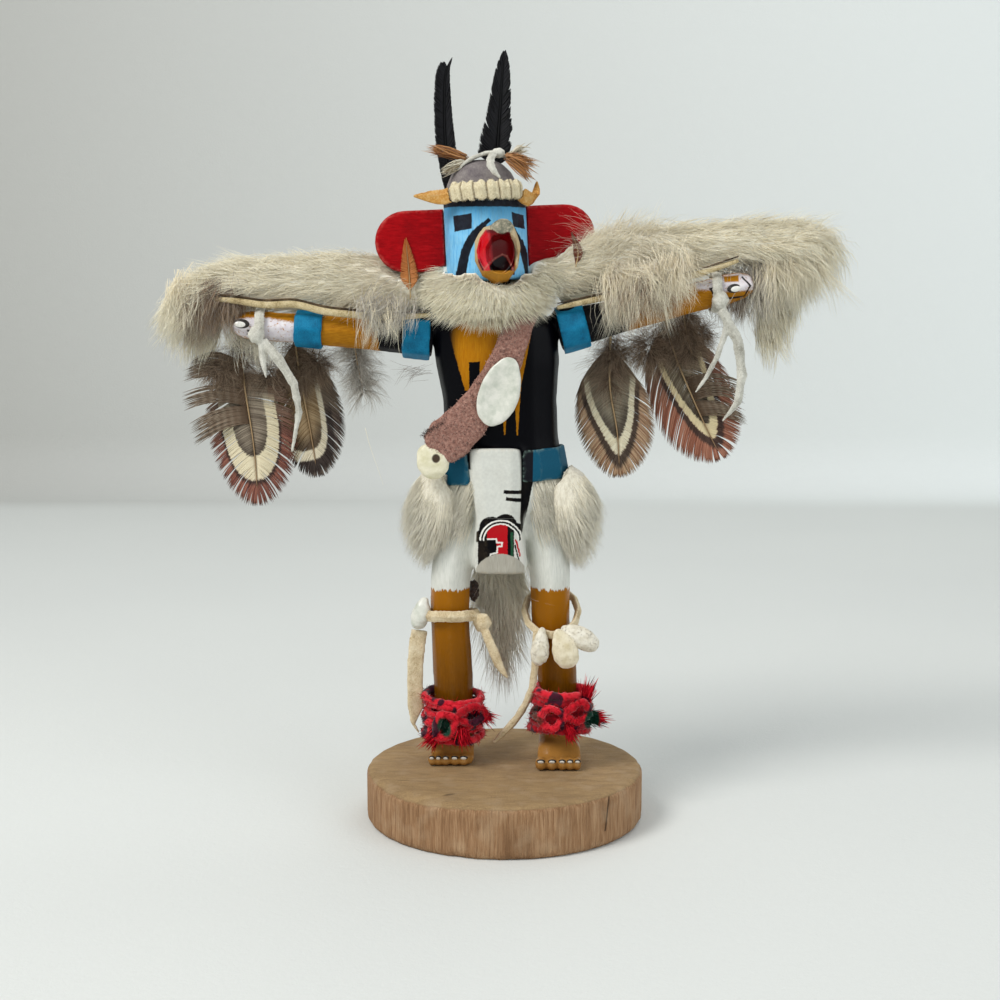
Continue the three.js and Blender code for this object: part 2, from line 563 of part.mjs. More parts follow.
const rightShell = { centre: [-27.4, 3.8, 50.6], radii: [3.4, 3.2, 5.8], rotation: [0, 0.16, 0] };
const leftShells = [
  { centre: [11.2, -3.6, 41], radii: [4.2, 3.4, 7], rotation: [0, -0.16, 0] },
  { centre: [18.6, -5, 41], radii: [4.6, 3.2, 7.2], rotation: [0, -0.5, 0] },
  { centre: [24.6, -3, 44.6], radii: [4.4, 3.2, 7], rotation: [0, -1.02, 0] },
];

// A whelk-like tube shell, wide at one end, with a shallow spiral step.
function garterShellSolid({ centre, radii: [rx, ry, rz], rotation }) {
  const rows = [[1, 0.16], [0.7, 0.5], [0.3, 0.74], [-0.1, 0.94], [-0.45, 1], [-0.75, 0.86], [-1, 0.5]];
  const form = column(rows.map(([t, r]) => [t * rz, 0, r * rx, 0, r * ry]), 9, {
    lobes: (angle, t) => 1 + 0.06 * Math.sin(angle * 2 + 9 * t),
  });
  form.applyMatrix4(new THREE.Matrix4().makeRotationFromEuler(new THREE.Euler(...rotation)));
  return solidOf(form.translate(...centre));
}

function garterStrapRightSolid() {
  return solidOf(limb(smooth([
    [-28.4, 5, 44.6, 3, 0.6], [-29.6, 4.8, 36, 2.9, 0.6], [-30, 4.8, 24, 2.9, 0.6], [-29, 4.8, 14, 2.9, 0.6], [-26.2, 4.8, 8.6, 1.2, 0.6],
  ], 8), 6, v(1, 0.2, 0), { square: 4 }));
}

// Twisted yarn round each ankle, tied with tufted ends.
function ankleYarnForm(side, grow = 0) {
  const lobes = (angle) => 1 + 0.22 * Math.sin(5 * angle + 1);
  const coil = hoop(calfRadius + 4, 6 + grow, 2.8 + grow, 12, { lobes, sides: 4 });
  const tufts = side === 'right'
    ? [[[-5.8, 1.4, 15.4], [3.8, 3.2, 4]], [[-6.4, 2, 9.6], [3.6, 2.8, 3.2]], [[-23.4, -0.6, 7.4], [2.8, 2.6, 4.4]]]
    : [[[28.2, 3.4, 21.4], [3, 2.6, 4.2]], [[30.2, 2.6, 14.4], [3.8, 3.4, 4]], [[27.2, 1.2, 11.4], [3.8, 3.2, 4.6]]];
  return join(solidOf(coil.translate(ankleX[side], backY - 1, 12.6)),
    ...tufts.map(([centre, radii]) => solidOf(pebble(centre, radii.map((r) => r + grow), [6, 4]))));
}

// Thongs tied round the hands, with long curled ends.
function handThongForm(side, grow = 0) {
  const sign = Math.sign(armReach[side]);
  const x = side === 'right' ? -79 : 68.4;
  const z = lerp(armRootZ[side], armTipZ[side], (x - armRootX[side]) / (armReach[side] - armRootX[side]));
  const loop = hoop(armRadius + 1.1, 1.9, 0.8, 10, { sides: 4 }).rotateY(Math.PI / 2).translate(x, armY - 1, z);
  const knot = pebble([x + sign * 1, armY - 7.4, z - 2.6], [2.9 + grow, 2.2 + grow, 3.2 + grow], [6, 5]);
  const end = side === 'right'
    ? [[x + 1, -1.4, 141, 1.9, 0.8], [-73, -2, 135.4, 1.9, 0.8], [-68, -1.6, 127, 1.6, 0.8], [-66.6, -1, 118, 1.3, 0.7],
      [-69.2, -0.6, 105, 0.5, 0.4]]
    : [[69.6, -2, 151, 1.9, 0.8], [75, -2.4, 141, 1.9, 0.8], [76.6, -2, 130, 1.8, 0.8], [75.4, -1.6, 121, 1.5, 0.7],
      [70.6, -1.2, 115, 0.4, 0.4]];
  const second = side === 'right'
    ? [[x + 0.6, -1.8, 140, 1.3, 0.7], [-77.8, -1.6, 134, 1.2, 0.6], [-77, -1.4, 129, 0.4, 0.4]]
    : [[71.4, -1.8, 150, 1.2, 0.6], [70.4, -2, 141, 1.1, 0.6], [66, -2, 131, 0.9, 0.6], [61.6, -2, 124.4, 0.4, 0.4]];
  return join(solidOf(loop), solidOf(knot), ...[end, second].map((rows) => solidOf(limb(smooth(rows, 4), 4, v(1, 0, 0.1), { grow }))));
}

// The pieces, each cut to lie beside its neighbours.

const sides = ['right', 'left'];
const each = (make) => Object.fromEntries(sides.map((side) => [side, make(side, gap)]));

const grown = {
  body: bodyForm(gap),
  torso: torso(gap),
  sash: sash(gap),
  head: headForm(gap),
  beak: beakForm(gap),
  ruff: ruffForm(gap),
  belt: beltForm(gap),
  strap: chestStrapForm(gap),
  tail: tailFurForm(gap),
  browBand: browBandForm(gap),
  crownThong: crownThongForm(gap),
  garterThongLeft: garterThongLeftForm(gap),
  garterThongRight: garterThongRightForm(gap),
  arm: each(armForm),
  tablet: each(tabletForm),
  pelt: each(peltForm),
  hip: each(hipFurForm),
  handThong: each(handThongForm),
  crownFeather: each(crownFeatherForm),
  leg: each((side, grow) => join(leg(side, grow), foot(side, grow))),
  yarn: each(ankleYarnForm),
};

const figure = new THREE.Group();
figure.position.z = slabHeight;
const group = new THREE.Group();
group.add(figure);

function put(parent, name, finish, solid, ...neighbours) {
  const [color, roughness] = finishes[finish];
  const geometry = geometryOf(beside(solid, ...neighbours));
  const mesh = new THREE.Mesh(geometry, new THREE.MeshStandardMaterial({ color, roughness, metalness: 0 }));
  mesh.name = name;
  parent.add(mesh);
}

const { body, torso: chest, head, beak, ruff, belt, strap, tail } = grown;
put(group, 'base_slab', 'slabWood', slabSolid());
put(figure, 'body', 'blackPaint', bodyForm());
put(figure, 'head', 'maskBlue', headForm(), chest);
put(figure, 'beak', 'ochrePaint', beakForm(), head);
put(figure, 'brow_band', 'bone', browBandForm(), head);
put(figure, 'crown_thong', 'paleLeather', crownThongForm(), head);
put(figure, 'neck_ruff', 'fur', ruffForm(), chest, head, beak, grown.arm.right, grown.arm.left);
put(figure, 'chest_strap', 'pinkSuede', chestStrapForm(), chest, grown.sash, ruff);
put(figure, 'belt', 'bluePaint', beltForm(), chest, grown.sash, strap);
put(figure, 'shell_large', 'shell', dishedShell([-1.6, -6.6, 124.8], [6.6, 1.6, 11.6], [0, 0.3, 0]), strap, body);
put(figure, 'shell_small', 'shell', dishedShell([-23.4, -5.2, 102.8], [5.6, 2.4, 5.8], [0, 0.5, 0]), strap, belt,
  grown.hip.right);
put(figure, 'tail_fur', 'whiteFur', tailFurForm(), body, belt);
put(figure, 'tail_bead', 'darkBead', solidOf(pebble([-10.4, 15.4, 56], [2, 2, 4.2], [7, 5])), body, tail);
put(figure, 'wrist_band_right', 'bluePaint', armBand('right', wristBandX, armBandWidth), grown.pelt.right);

for (const side of sides) {
  const [arm, tablet, pelt, leg, yarn, thong] = ['arm', 'tablet', 'pelt', 'leg', 'yarn', 'handThong']
    .map((name) => grown[name][side]);
  put(figure, `arm_${side}`, 'ochrePaint', armForm(side), body);
  put(figure, `ear_tablet_${side}`, 'redPaint', tabletForm(side), head, beak, ruff);
  put(figure, `brow_leaf_${side}`, 'husk', browLeafSolid(side), head, grown.browBand, tablet);
  put(figure, `crown_feather_${side}`, 'blackFeather', crownFeatherForm(side), head, grown.crownThong);
  put(figure, `crown_tuft_${side}`, 'husk', crownTuftSolid(side), head, grown.crownThong, grown.crownFeather[side]);
  put(figure, `wing_pelt_${side}`, 'fur', peltForm(side), chest, arm, head, ruff, tablet);
  put(figure, `ear_feather_${side}`, 'husk', earFeatherSolid(side), tablet, pelt, ruff);
  put(figure, `shoulder_band_${side}`, 'bluePaint', armBand(side, shoulderBandX[side], armBandWidth), body, pelt, ruff);
  put(figure, `hand_thong_${side}`, 'paleLeather', handThongForm(side), arm, pelt);
  put(figure, `hip_fur_${side}`, 'whiteFur', hipFurForm(side), body, belt, tail);
  for (const n of [1, 2, 3]) {
    put(figure, `wing_feather_${side}_${n}`, 'brownFeather', wingFeatherSolid(`${side}_${n}`), pelt, arm, thong);
  }
  put(figure, `ankle_yarn_${side}`, 'redYarn', ankleYarnForm(side), leg);
}

put(figure, 'garter_thong_right', 'paleLeather', garterThongRightForm(), grown.leg.right);
put(figure, 'garter_shell_right', 'shell', garterShellSolid(rightShell), grown.leg.right, grown.garterThongRight);
put(figure, 'garter_strap_right', 'paleLeather', garterStrapRightSolid(), grown.leg.right, grown.yarn.right);
put(figure, 'garter_thong_left', 'paleLeather', garterThongLeftForm(), grown.leg.left, grown.yarn.left, grown.yarn.right,
  grown.leg.right);
leftShells.forEach((shell, i) => {
  put(figure, `garter_shell_left_${i + 1}`, 'shell', garterShellSolid(shell), grown.leg.left, grown.garterThongLeft);
});

export default group;
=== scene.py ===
import math
import bmesh
import bpy
import numpy as np
from mathutils import Matrix, Vector, kdtree


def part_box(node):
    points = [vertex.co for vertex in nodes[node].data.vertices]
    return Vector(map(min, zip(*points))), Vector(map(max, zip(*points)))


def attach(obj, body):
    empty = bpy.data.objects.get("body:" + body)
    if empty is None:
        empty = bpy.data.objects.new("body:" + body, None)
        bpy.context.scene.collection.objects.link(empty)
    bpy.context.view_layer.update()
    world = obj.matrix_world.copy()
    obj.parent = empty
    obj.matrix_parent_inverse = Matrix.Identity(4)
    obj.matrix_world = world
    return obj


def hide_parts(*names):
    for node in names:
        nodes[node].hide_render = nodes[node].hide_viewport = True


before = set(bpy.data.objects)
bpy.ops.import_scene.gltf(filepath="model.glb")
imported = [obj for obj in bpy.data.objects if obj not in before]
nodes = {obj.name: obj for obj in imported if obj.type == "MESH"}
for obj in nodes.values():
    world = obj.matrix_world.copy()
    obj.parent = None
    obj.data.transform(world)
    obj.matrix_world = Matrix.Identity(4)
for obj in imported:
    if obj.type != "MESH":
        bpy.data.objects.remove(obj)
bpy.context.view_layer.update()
scene = bpy.context.scene
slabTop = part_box("base_slab")[1].z
millimetre = 0.001

print("stage: camera and studio")
scene.view_settings.view_transform = "Standard"
studio = {
    "cameraPlace": (-0.00149, -0.51887, 0.17533), "cameraDip": 7.609, "lens": 57.6,
    "wallY": 0.835, "floorWidth": 5.0, "wallHeight": 1.8,
    "sky": 0.62, "keyPower": 9.2, "fillPower": 3.2, "rimPower": 1.2,
}


def tone(red, green, blue):
    # a colour as seen on a screen, made linear
    parts = [c / 255 for c in (red, green, blue)]
    return tuple(c / 12.92 if c < 0.0405 else ((c + 0.055) / 1.055) ** 2.4 for c in parts) + (1.0,)


def screenColour(value):
    # three numbers from 0 to 255 are a colour, and anything else stays
    return tone(*value) if isinstance(value, tuple) and len(value) == 3 else value


# Node building: a Wire is one output, and sums of wires make Math nodes.
class Wire:
    def __init__(self, tree, socket):
        self.tree = tree
        self.socket = socket

    def math(self, operation, *others, clamp=False):
        made = self.tree.nodes.new("ShaderNodeMath")
        made.operation = operation
        made.use_clamp = clamp
        for socket, value in zip(made.inputs, (self, *others)):
            plug(self.tree, value, socket)
        return Wire(self.tree, made.outputs[0])

    def __add__(self, other):
        return self.math("ADD", other)

    def __sub__(self, other):
        return self.math("SUBTRACT", other)

    def __mul__(self, other):
        return self.math("MULTIPLY", other)

    def __rsub__(self, other):
        return (self * -1.0).math("ADD", other)

    def __truediv__(self, other):
        return self.math("DIVIDE", other)

    __radd__ = __add__
    __rmul__ = __mul__

    def most(self, other):
        return self.math("MAXIMUM", other)

    def size(self):
        return self.math("ABSOLUTE")

    def over(self, edge, soft=0.1):
        # 0 below the edge, 1 above it, over a soft width
        made = self.tree.nodes.new("ShaderNodeMapRange")
        made.interpolation_type = "SMOOTHSTEP"
        plug(self.tree, self, made.inputs["Value"])
        made.inputs["From Min"].default_value = -soft
        made.inputs["From Max"].default_value = soft
        plug(self.tree, self - edge, made.inputs["Value"])
        return Wire(self.tree, made.outputs["Result"])

    def under(self, edge, soft=0.1):
        return 1.0 - self.over(edge, soft)


def plug(tree, value, socket):
    if isinstance(value, Wire):
        tree.links.new(value.socket, socket)
    else:
        socket.default_value = screenColour(value)


class Bench:
    # the makings of one material or effect
    def __init__(self, tree):
        self.tree = tree

    def node(self, kind, **settings):
        made = self.tree.nodes.new(kind)
        for name, value in settings.items():
            setattr(made, name, value)
        return made

    def place(self):
        # Object coordinates in millimetres above the slab, as a vector
        source = self.node("ShaderNodeTexCoord")
        scaled = self.node("ShaderNodeVectorMath", operation="MULTIPLY_ADD")
        self.tree.links.new(source.outputs["Object"], scaled.inputs[0])
        scaled.inputs[1].default_value = (1000, 1000, 1000)
        scaled.inputs[2].default_value = (0, 0, -slabTop * 1000)
        return Wire(self.tree, scaled.outputs[0])

    def split(self, vector):
        made = self.node("ShaderNodeSeparateXYZ")
        plug(self.tree, vector, made.inputs[0])
        return [Wire(self.tree, socket) for socket in made.outputs]

    def join(self, x, y, z):
        made = self.node("ShaderNodeCombineXYZ")
        for value, socket in zip((x, y, z), made.inputs):
            plug(self.tree, value, socket)
        return Wire(self.tree, made.outputs[0])

    def cloud(self, vector, size=1.0, detail=2.0, rough=0.5, warp=0.0):
        # noise whose blobs are about this many units across
        made = self.node("ShaderNodeTexNoise")
        plug(self.tree, vector, made.inputs["Vector"])
        for name, value in (("Scale", 1 / size), ("Detail", detail), ("Roughness", rough), ("Distortion", warp)):
            made.inputs[name].default_value = value
        return Wire(self.tree, made.outputs["Fac"])

    def cells(self, vector, size=1.0, feature="F1"):
        made = self.node("ShaderNodeTexVoronoi", feature=feature)
        plug(self.tree, vector, made.inputs["Vector"])
        made.inputs["Scale"].default_value = 1 / size
        return Wire(self.tree, made.outputs["Distance"])

    def mix(self, mask, first, second, blend="MIX"):
        made = self.node("ShaderNodeMix", data_type="RGBA", blend_type=blend)
        made.clamp_factor = True
        plug(self.tree, mask, made.inputs[0])
        plug(self.tree, first, made.inputs[6])
        plug(self.tree, second, made.inputs[7])
        return Wire(self.tree, made.outputs[2])

    def ramp(self, value, *stops):
        made = self.node("ShaderNodeValToRGB")
        plug(self.tree, value, made.inputs[0])
        elements = made.color_ramp.elements
        while len(elements) < len(stops):
            elements.new(0.5)
        for element, (at, colour) in zip(elements, stops):
            element.position = at
            element.color = screenColour(colour)
        return Wire(self.tree, made.outputs[0])

    def level(self, value, low, high, outLow=0.0, outHigh=1.0):
        made = self.node("ShaderNodeMapRange")
        plug(self.tree, value, made.inputs["Value"])
        for name, number in (("From Min", low), ("From Max", high), ("To Min", outLow), ("To Max", outHigh)):
            made.inputs[name].default_value = number
        return Wire(self.tree, made.outputs["Result"])

    def mark(self, name):
        # a mesh attribute holding one number per point
        made = self.node("ShaderNodeAttribute", attribute_name=name)
        return Wire(self.tree, made.outputs["Fac"])

    def marks(self, name):
        made = self.node("ShaderNodeAttribute", attribute_name=name)
        return Wire(self.tree, made.outputs["Vector"])

    def patch(self, x, z, corners, soft=0.12):
        # a convex painted outline, its corners clockwise as the figure is seen
        far = None
        for (x0, z0), (x1, z1) in zip(corners, corners[1:] + corners[:1]):
            length = math.hypot(x1 - x0, z1 - z0)
            across, up = (z1 - z0) / length, (x0 - x1) / length
            side = x.math("MULTIPLY_ADD", -across, across * x0 + up * z0)
            side = z.math("MULTIPLY_ADD", -up, side)
            far = side if far is None else far.most(side)
        return far.under(0.0, soft)

    def stroke(self, x, z, start, end, width, soft=0.12):
        # a painted line between two points
        (x0, z0), (x1, z1) = start, end
        length = math.hypot(x1 - x0, z1 - z0)
        ax, az = (x1 - x0) / length, (z1 - z0) / length
        along = z.math("MULTIPLY_ADD", az, x.math("MULTIPLY_ADD", ax, -ax * x0 - az * z0))
        off = z.math("MULTIPLY_ADD", ax, x.math("MULTIPLY_ADD", -az, az * x0 - ax * z0)).size()
        return ((along - length / 2).size() - (length / 2 + width * 0.3)).most(off - width / 2).under(0.0, soft)

    def spot(self, x, z, centre, radii, soft=0.1, turn=0.0):
        dx, dz = x - centre[0], z - centre[1]
        c, s = math.cos(turn), math.sin(turn)
        across = (dx * c + dz * s) / radii[0]
        up = (dz * c - dx * s) / radii[1]
        return ((across * across + up * up).math("SQRT") - 1.0).under(0.0, soft / min(radii))

    def use(self, group, **values):
        made = self.node("ShaderNodeGroup", node_tree=group)
        for name, value in values.items():
            plug(self.tree, value, made.inputs[name])
        return [Wire(self.tree, socket) for socket in made.outputs]


def effect(name, inputs, outputs, build):
    # a shared effect as a node group with named sockets
    group = bpy.data.node_groups.new(name, "ShaderNodeTree")
    for label, default in inputs.items():
        kind = "NodeSocketFloat" if isinstance(default, float) else "NodeSocketColor"
        group.interface.new_socket(label, in_out="INPUT", socket_type=kind).default_value = default
    for label, kind in outputs.items():
        group.interface.new_socket(label, in_out="OUTPUT", socket_type=kind)
    bench = Bench(group)
    start = bench.node("NodeGroupInput")
    end = bench.node("NodeGroupOutput")
    results = build(bench, *[Wire(group, start.outputs[label]) for label in inputs])
    for wire, socket in zip(results, end.inputs):
        group.links.new(wire.socket, socket)
    return group


def material(name, look, bump=0.1, **constants):
    # look gives a dictionary of wires for the shader, and Height in millimetres
    made = bpy.data.materials.new(name)
    made.use_nodes = True
    shader = made.node_tree.nodes["Principled BSDF"]
    for label, value in constants.items():
        shader.inputs[label.replace("_", " ")].default_value = value
    bench = Bench(made.node_tree)
    for label, wire in look(bench).items():
        if label == "Height":
            raised = bench.node("ShaderNodeBump")
            raised.inputs["Distance"].default_value = bump * millimetre
            plug(made.node_tree, wire, raised.inputs["Height"])
            made.node_tree.links.new(raised.outputs[0], shader.inputs["Normal"])
        else:
            plug(made.node_tree, wire, shader.inputs[label])
    made.diffuse_color = (0.6, 0.5, 0.4, 1)
    return made


# Shared effects
def streakNodes(bench, across, along):
    x, y, z = bench.split(bench.place())
    grain = bench.join(x / across, y / across, z / along)
    return [bench.cloud(grain, 1.0, 4.0, 0.6, 0.4)]


def grimeNodes(bench, size, amount):
    x, y, z = bench.split(bench.place())
    near = bench.join(x / size, y / size, z / size)
    broad = bench.cloud(near, 1.0, 5.0, 0.62)
    return [bench.level(broad, 0.42, 0.72) * amount]


def edgeNodes(bench, amount):
    geometry = bench.node("ShaderNodeNewGeometry")
    sharp = bench.level(Wire(bench.tree, geometry.outputs["Pointiness"]), 0.505, 0.56)
    broken = bench.level(bench.cloud(bench.place(), 1.2, 4.0), 0.4, 0.6)
    return [(sharp * broken * amount).math("MINIMUM", 1.0)]


def napNodes(bench, size):
    x, y, z = bench.split(bench.place())
    near = bench.join(x / size, y / size, z / size)
    pits = bench.cells(near, 1.0)
    crumbs = bench.cloud(near, 0.8, 4.0, 0.7)
    return [crumbs, pits * 0.5 + crumbs * 0.7]


brushMarks = effect("brushMarks", {"Across": 0.4, "Along": 6.0}, {"Streak": "NodeSocketFloat"}, streakNodes)
grime = effect("grime", {"Size": 5.0, "Amount": 0.5}, {"Mask": "NodeSocketFloat"}, grimeNodes)
wornEdge = effect("wornEdge", {"Amount": 1.0}, {"Mask": "NodeSocketFloat"}, edgeNodes)
nap = effect("nap", {"Size": 0.5}, {"Speckle": "NodeSocketFloat", "Height": "NodeSocketFloat"}, napNodes)


# Mesh helpers
def at(points):
    # figure millimetres, measured up from the slab's top, to metres
    return np.asarray(points, float) * millimetre + (0, 0, slabTop)


def coords(mesh):
    found = np.empty(len(mesh.vertices) * 3, np.float32)
    mesh.vertices.foreach_get("co", found)
    return found.reshape(-1, 3).astype(float)


def setCoords(mesh, places):
    mesh.vertices.foreach_set("co", np.asarray(places, np.float32).ravel())
    mesh.update()


def pointNormals(mesh):
    found = np.empty(len(mesh.vertices) * 3, np.float32)
    mesh.vertex_normals.foreach_get("vector", found)
    return found.reshape(-1, 3).astype(float)


def figurePlaces(mesh):
    return (coords(mesh) - (0, 0, slabTop)) * 1000


def addMark(mesh, name, values):
    kind = "FLOAT" if values.ndim == 1 else "FLOAT_VECTOR"
    layer = mesh.attributes.new(name, kind, "POINT")
    layer.data.foreach_set("value" if values.ndim == 1 else "vector", values.astype(np.float32).ravel())


def evaluated(thing):
    # the mesh with its modifiers applied; the helper object goes
    graph = bpy.context.evaluated_depsgraph_get()
    mesh = bpy.data.meshes.new_from_object(thing.evaluated_get(graph))
    old = thing.data
    bpy.data.objects.remove(thing)
    bpy.data.meshes.remove(old)
    return mesh


def helper(mesh):
    thing = bpy.data.objects.new("helper", mesh)
    scene.collection.objects.link(thing)
    return thing


def carved(node, voxel, soften=4, swell=0.0, rounding=0, where=None, extras=()):
    # a fine skin over a CAD node: its corners eased, its size changed by swell, in millimetres
    work = bmesh.new()
    work.from_mesh(nodes[node].data)
    bmesh.ops.remove_doubles(work, verts=work.verts, dist=2e-6)
    for extra in extras:
        work.from_mesh(extra)
    mesh = bpy.data.meshes.new(node + "Copy")
    work.to_mesh(mesh)
    work.free()
    mesh.materials.clear()
    thing = helper(mesh)
    fine = thing.modifiers.new("fine", "REMESH")
    fine.mode = "VOXEL"
    fine.voxel_size = voxel * millimetre
    if soften:
        eased = thing.modifiers.new("eased", "SMOOTH")
        eased.factor = 0.5
        eased.iterations = soften
    result = evaluated(thing)
    if rounding:  # flats turn round, fully where the weight is 1
        weights = np.ones(len(result.vertices)) if where is None else where(figurePlaces(result))
        thing = helper(result)
        group = thing.vertex_groups.new(name="round")
        steps = np.rint(weights * 10).astype(int)
        for step in range(1, 11):
            group.add(np.flatnonzero(steps == step).tolist(), step / 10, "REPLACE")
        eased = thing.modifiers.new("round", "SMOOTH")
        eased.factor = 0.5
        eased.iterations = rounding
        eased.vertex_group = "round"
        result = evaluated(thing)
    if swell:
        setCoords(result, coords(result) + pointNormals(result) * swell * millimetre)
    return result


def egg(centre, radii, tilt=0.0, lean=0.0, segments=24):
    # a closed rounded form in figure millimetres
    work = bmesh.new()
    bmesh.ops.create_uvsphere(work, u_segments=segments, v_segments=segments // 2 + 2, radius=1.0)
    mesh = bpy.data.meshes.new("egg")
    work.to_mesh(mesh)
    work.free()
    turned = np.array(Matrix.Rotation(tilt, 3, "Y") @ Matrix.Rotation(lean, 3, "X"))
    setCoords(mesh, at((coords(mesh) * radii) @ turned.T + centre))
    return mesh


def frontOf(mesh, x, z, reach=0.9):
    # how far forward the surface stands at a place
    p = figurePlaces(mesh)
    near = np.hypot(p[:, 0] - x, p[:, 2] - z) < reach
    return p[near, 1].min() if near.any() else 0.0


def blankOf(levels, sides, pointed):
    # one upright stem: rings at whole heights, ready to be repeated
    work = bmesh.new()
    top = 0.0 if pointed else 1.0
    bmesh.ops.create_cone(work, cap_ends=True, segments=sides, radius1=1.0, radius2=top, depth=levels - 1.0)
    bmesh.ops.translate(work, verts=work.verts, vec=(0, 0, (levels - 1) / 2))
    for height in range(1, levels - 1):
        everything = work.verts[:] + work.edges[:] + work.faces[:]
        bmesh.ops.bisect_plane(work, geom=everything, plane_co=(0, 0, height), plane_no=(0, 0, 1))
    bmesh.ops.recalc_face_normals(work, faces=work.faces)
    mesh = bpy.data.meshes.new("stemBlank")
    work.to_mesh(mesh)
    work.free()
    return mesh


def stems(guides, wide, thick=None, facing=None, sides=3, pointed=True, shade=None, extra=None):
    # many closed stems at once; guides holds their centre lines as (count, levels, 3) in metres
    count, levels = guides.shape[:2]
    thick = wide if thick is None else thick
    blank = blankOf(levels, sides, pointed)
    home = coords(blank)
    each = len(home)
    level = np.rint(home[:, 2]).astype(int)
    corner = np.arctan2(home[:, 1], home[:, 0])
    size = np.where(np.hypot(home[:, 0], home[:, 1]) > 1e-5, 1.0, 0.0)
    thing = helper(blank)
    if count > 1:
        row = thing.modifiers.new("row", "ARRAY")
        row.count = count
        row.use_relative_offset = False
        row.use_constant_offset = True
        row.constant_offset_displace = (3, 0, 0)
        row.use_merge_vertices = False
    mesh = evaluated(thing)
    along = np.gradient(guides, axis=1)
    along /= np.linalg.norm(along, axis=2, keepdims=True) + 1e-12
    if facing is None:
        facing = np.tile((0.31, -0.9, 0.3), (count, 1))
    if facing.ndim == 2:
        facing = np.repeat(facing[:, None, :], levels, axis=1)
    across = np.cross(along, facing)
    across /= np.linalg.norm(across, axis=2, keepdims=True) + 1e-12
    upward = np.cross(across, along)
    spread = (wide[:, level] * size * np.cos(corner))[:, :, None] * across[:, level]
    spread += (thick[:, level] * size * np.sin(corner))[:, :, None] * upward[:, level]
    setCoords(mesh, (guides[:, level] + spread).reshape(-1, 3))
    addMark(mesh, "along", np.tile(level / (levels - 1), count))
    shade = np.zeros(count) if shade is None else shade
    addMark(mesh, "shade", np.repeat(shade, each))
    if extra is not None:
        addMark(mesh, "vane", extra[:, level].reshape(-1, 3))
    return mesh


def path(rows, levels):
    # a smooth line through rows of numbers, evenly stepped
    rows = np.asarray(rows, float)
    padded = np.vstack([2 * rows[0] - rows[1], rows, 2 * rows[-1] - rows[-2]])
    spots = np.linspace(0, len(rows) - 1 - 1e-9, levels)
    k = spots.astype(int)
    t = (spots - k)[:, None]
    a, b, c, d = (padded[k + i] for i in range(4))
    return 0.5 * (2 * b + (c - a) * t + (2 * a - 5 * b + 4 * c - d) * t**2 + (3 * b - a - 3 * c + d) * t**3)


def piece(name, meshes, finishes, slot, *replaced, flat=False):
    # joins the meshes, each in its own finish, into one piece that rides on the doll
    meshes = meshes if isinstance(meshes, list) else [meshes]
    finishes = finishes if isinstance(finishes, list) else [finishes]
    things = []
    for mesh, worn in zip(meshes, finishes):
        mesh.materials.clear()
        mesh.materials.append(worn)
        mesh.polygons.foreach_set("use_smooth", np.full(len(mesh.polygons), not flat))
        things.append(helper(mesh))
    if len(things) > 1:
        with bpy.context.temp_override(active_object=things[0], object=things[0],
                                       selected_editable_objects=things, selected_objects=things):
            bpy.ops.object.join()
    made = things[0]
    made.name = name
    made.data.name = name
    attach(made, "root")
    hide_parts(*replaced)
    return made


# Camera, lights and the plain pale studio
camera = bpy.data.objects.new("camera", bpy.data.cameras.new("camera"))
camera.location = studio["cameraPlace"]
camera.rotation_euler = (math.radians(90 - studio["cameraDip"]), 0, 0)
camera.data.sensor_width = 36.0
camera.data.lens = studio["lens"]
camera.data.clip_start = 0.01
scene.collection.objects.link(camera)
scene.camera = camera

world = bpy.data.worlds.new("sky")
world.use_nodes = True
sky = world.node_tree.nodes["Background"]
sky.inputs["Color"].default_value = tone(238, 243, 246)
sky.inputs["Strength"].default_value = studio["sky"]
scene.world = world


def softLight(name, place, aim, size, power, colour):
    lamp = bpy.data.lights.new(name, "AREA")
    lamp.shape = "DISK"
    lamp.size = size
    lamp.energy = power
    lamp.color = colour
    thing = bpy.data.objects.new(name, lamp)
    thing.location = place
    thing.rotation_euler = (Vector(aim) - Vector(place)).to_track_quat("-Z", "Y").to_euler()
    scene.collection.objects.link(thing)


softLight("keyLight", (-0.62, -0.5, 0.95), (0, 0, 0.12), 0.5, studio["keyPower"], (1.0, 0.985, 0.96))
softLight("fillLight", (0.9, -0.7, 0.5), (0, 0, 0.12), 0.9, studio["fillPower"], (0.94, 0.97, 1.0))
softLight("rimLight", (0.3, 0.5, 0.9), (0, 0, 0.15), 0.6, studio["rimPower"], (1.0, 1.0, 1.0))


def floorLook(bench):
    spot = bench.place()
    x, y, z = bench.split(spot)
    paper = bench.cloud(spot, 1.6, 4.0, 0.6)
    broad = bench.cloud(spot, 260.0, 2.0)
    shade = bench.mix(broad, (211, 213, 210), (219, 221, 217))
    # painted shade: the wall is darker towards the left and lighter towards the right
    wallWithPaintedShade = bench.mix(bench.level(x, -420, 420), (190, 190, 185), (236, 240, 238))
    return {"Base Color": bench.mix(y.over(studio["wallY"] * 1000 - 60, 50.0), shade, wallWithPaintedShade), "Height": paper}


work = bmesh.new()
wide = studio["floorWidth"] / 2
sheet = bmesh.ops.create_grid(work, x_segments=1, y_segments=1, size=wide)["verts"]
back = [vert for vert in sheet if vert.co.y > 0]
for vert in back:
    vert.co.y = studio["wallY"]
edge = [e for e in work.edges if all(v in back for v in e.verts)]
raised = bmesh.ops.extrude_edge_only(work, edges=edge)["geom"]
bmesh.ops.translate(work, verts=[g for g in raised if isinstance(g, bmesh.types.BMVert)],
                    vec=(0, 0, studio["wallHeight"]))
bmesh.ops.bevel(work, geom=edge, offset=0.05, segments=8, profile=0.5, affect="EDGES", material=-1)
mesh = bpy.data.meshes.new("studioSheet")
work.to_mesh(mesh)
work.free()
mesh.materials.append(material("palePaper", floorLook, bump=0.15, Roughness=0.8))
mesh.polygons.foreach_set("use_smooth", np.full(len(mesh.polygons), True))
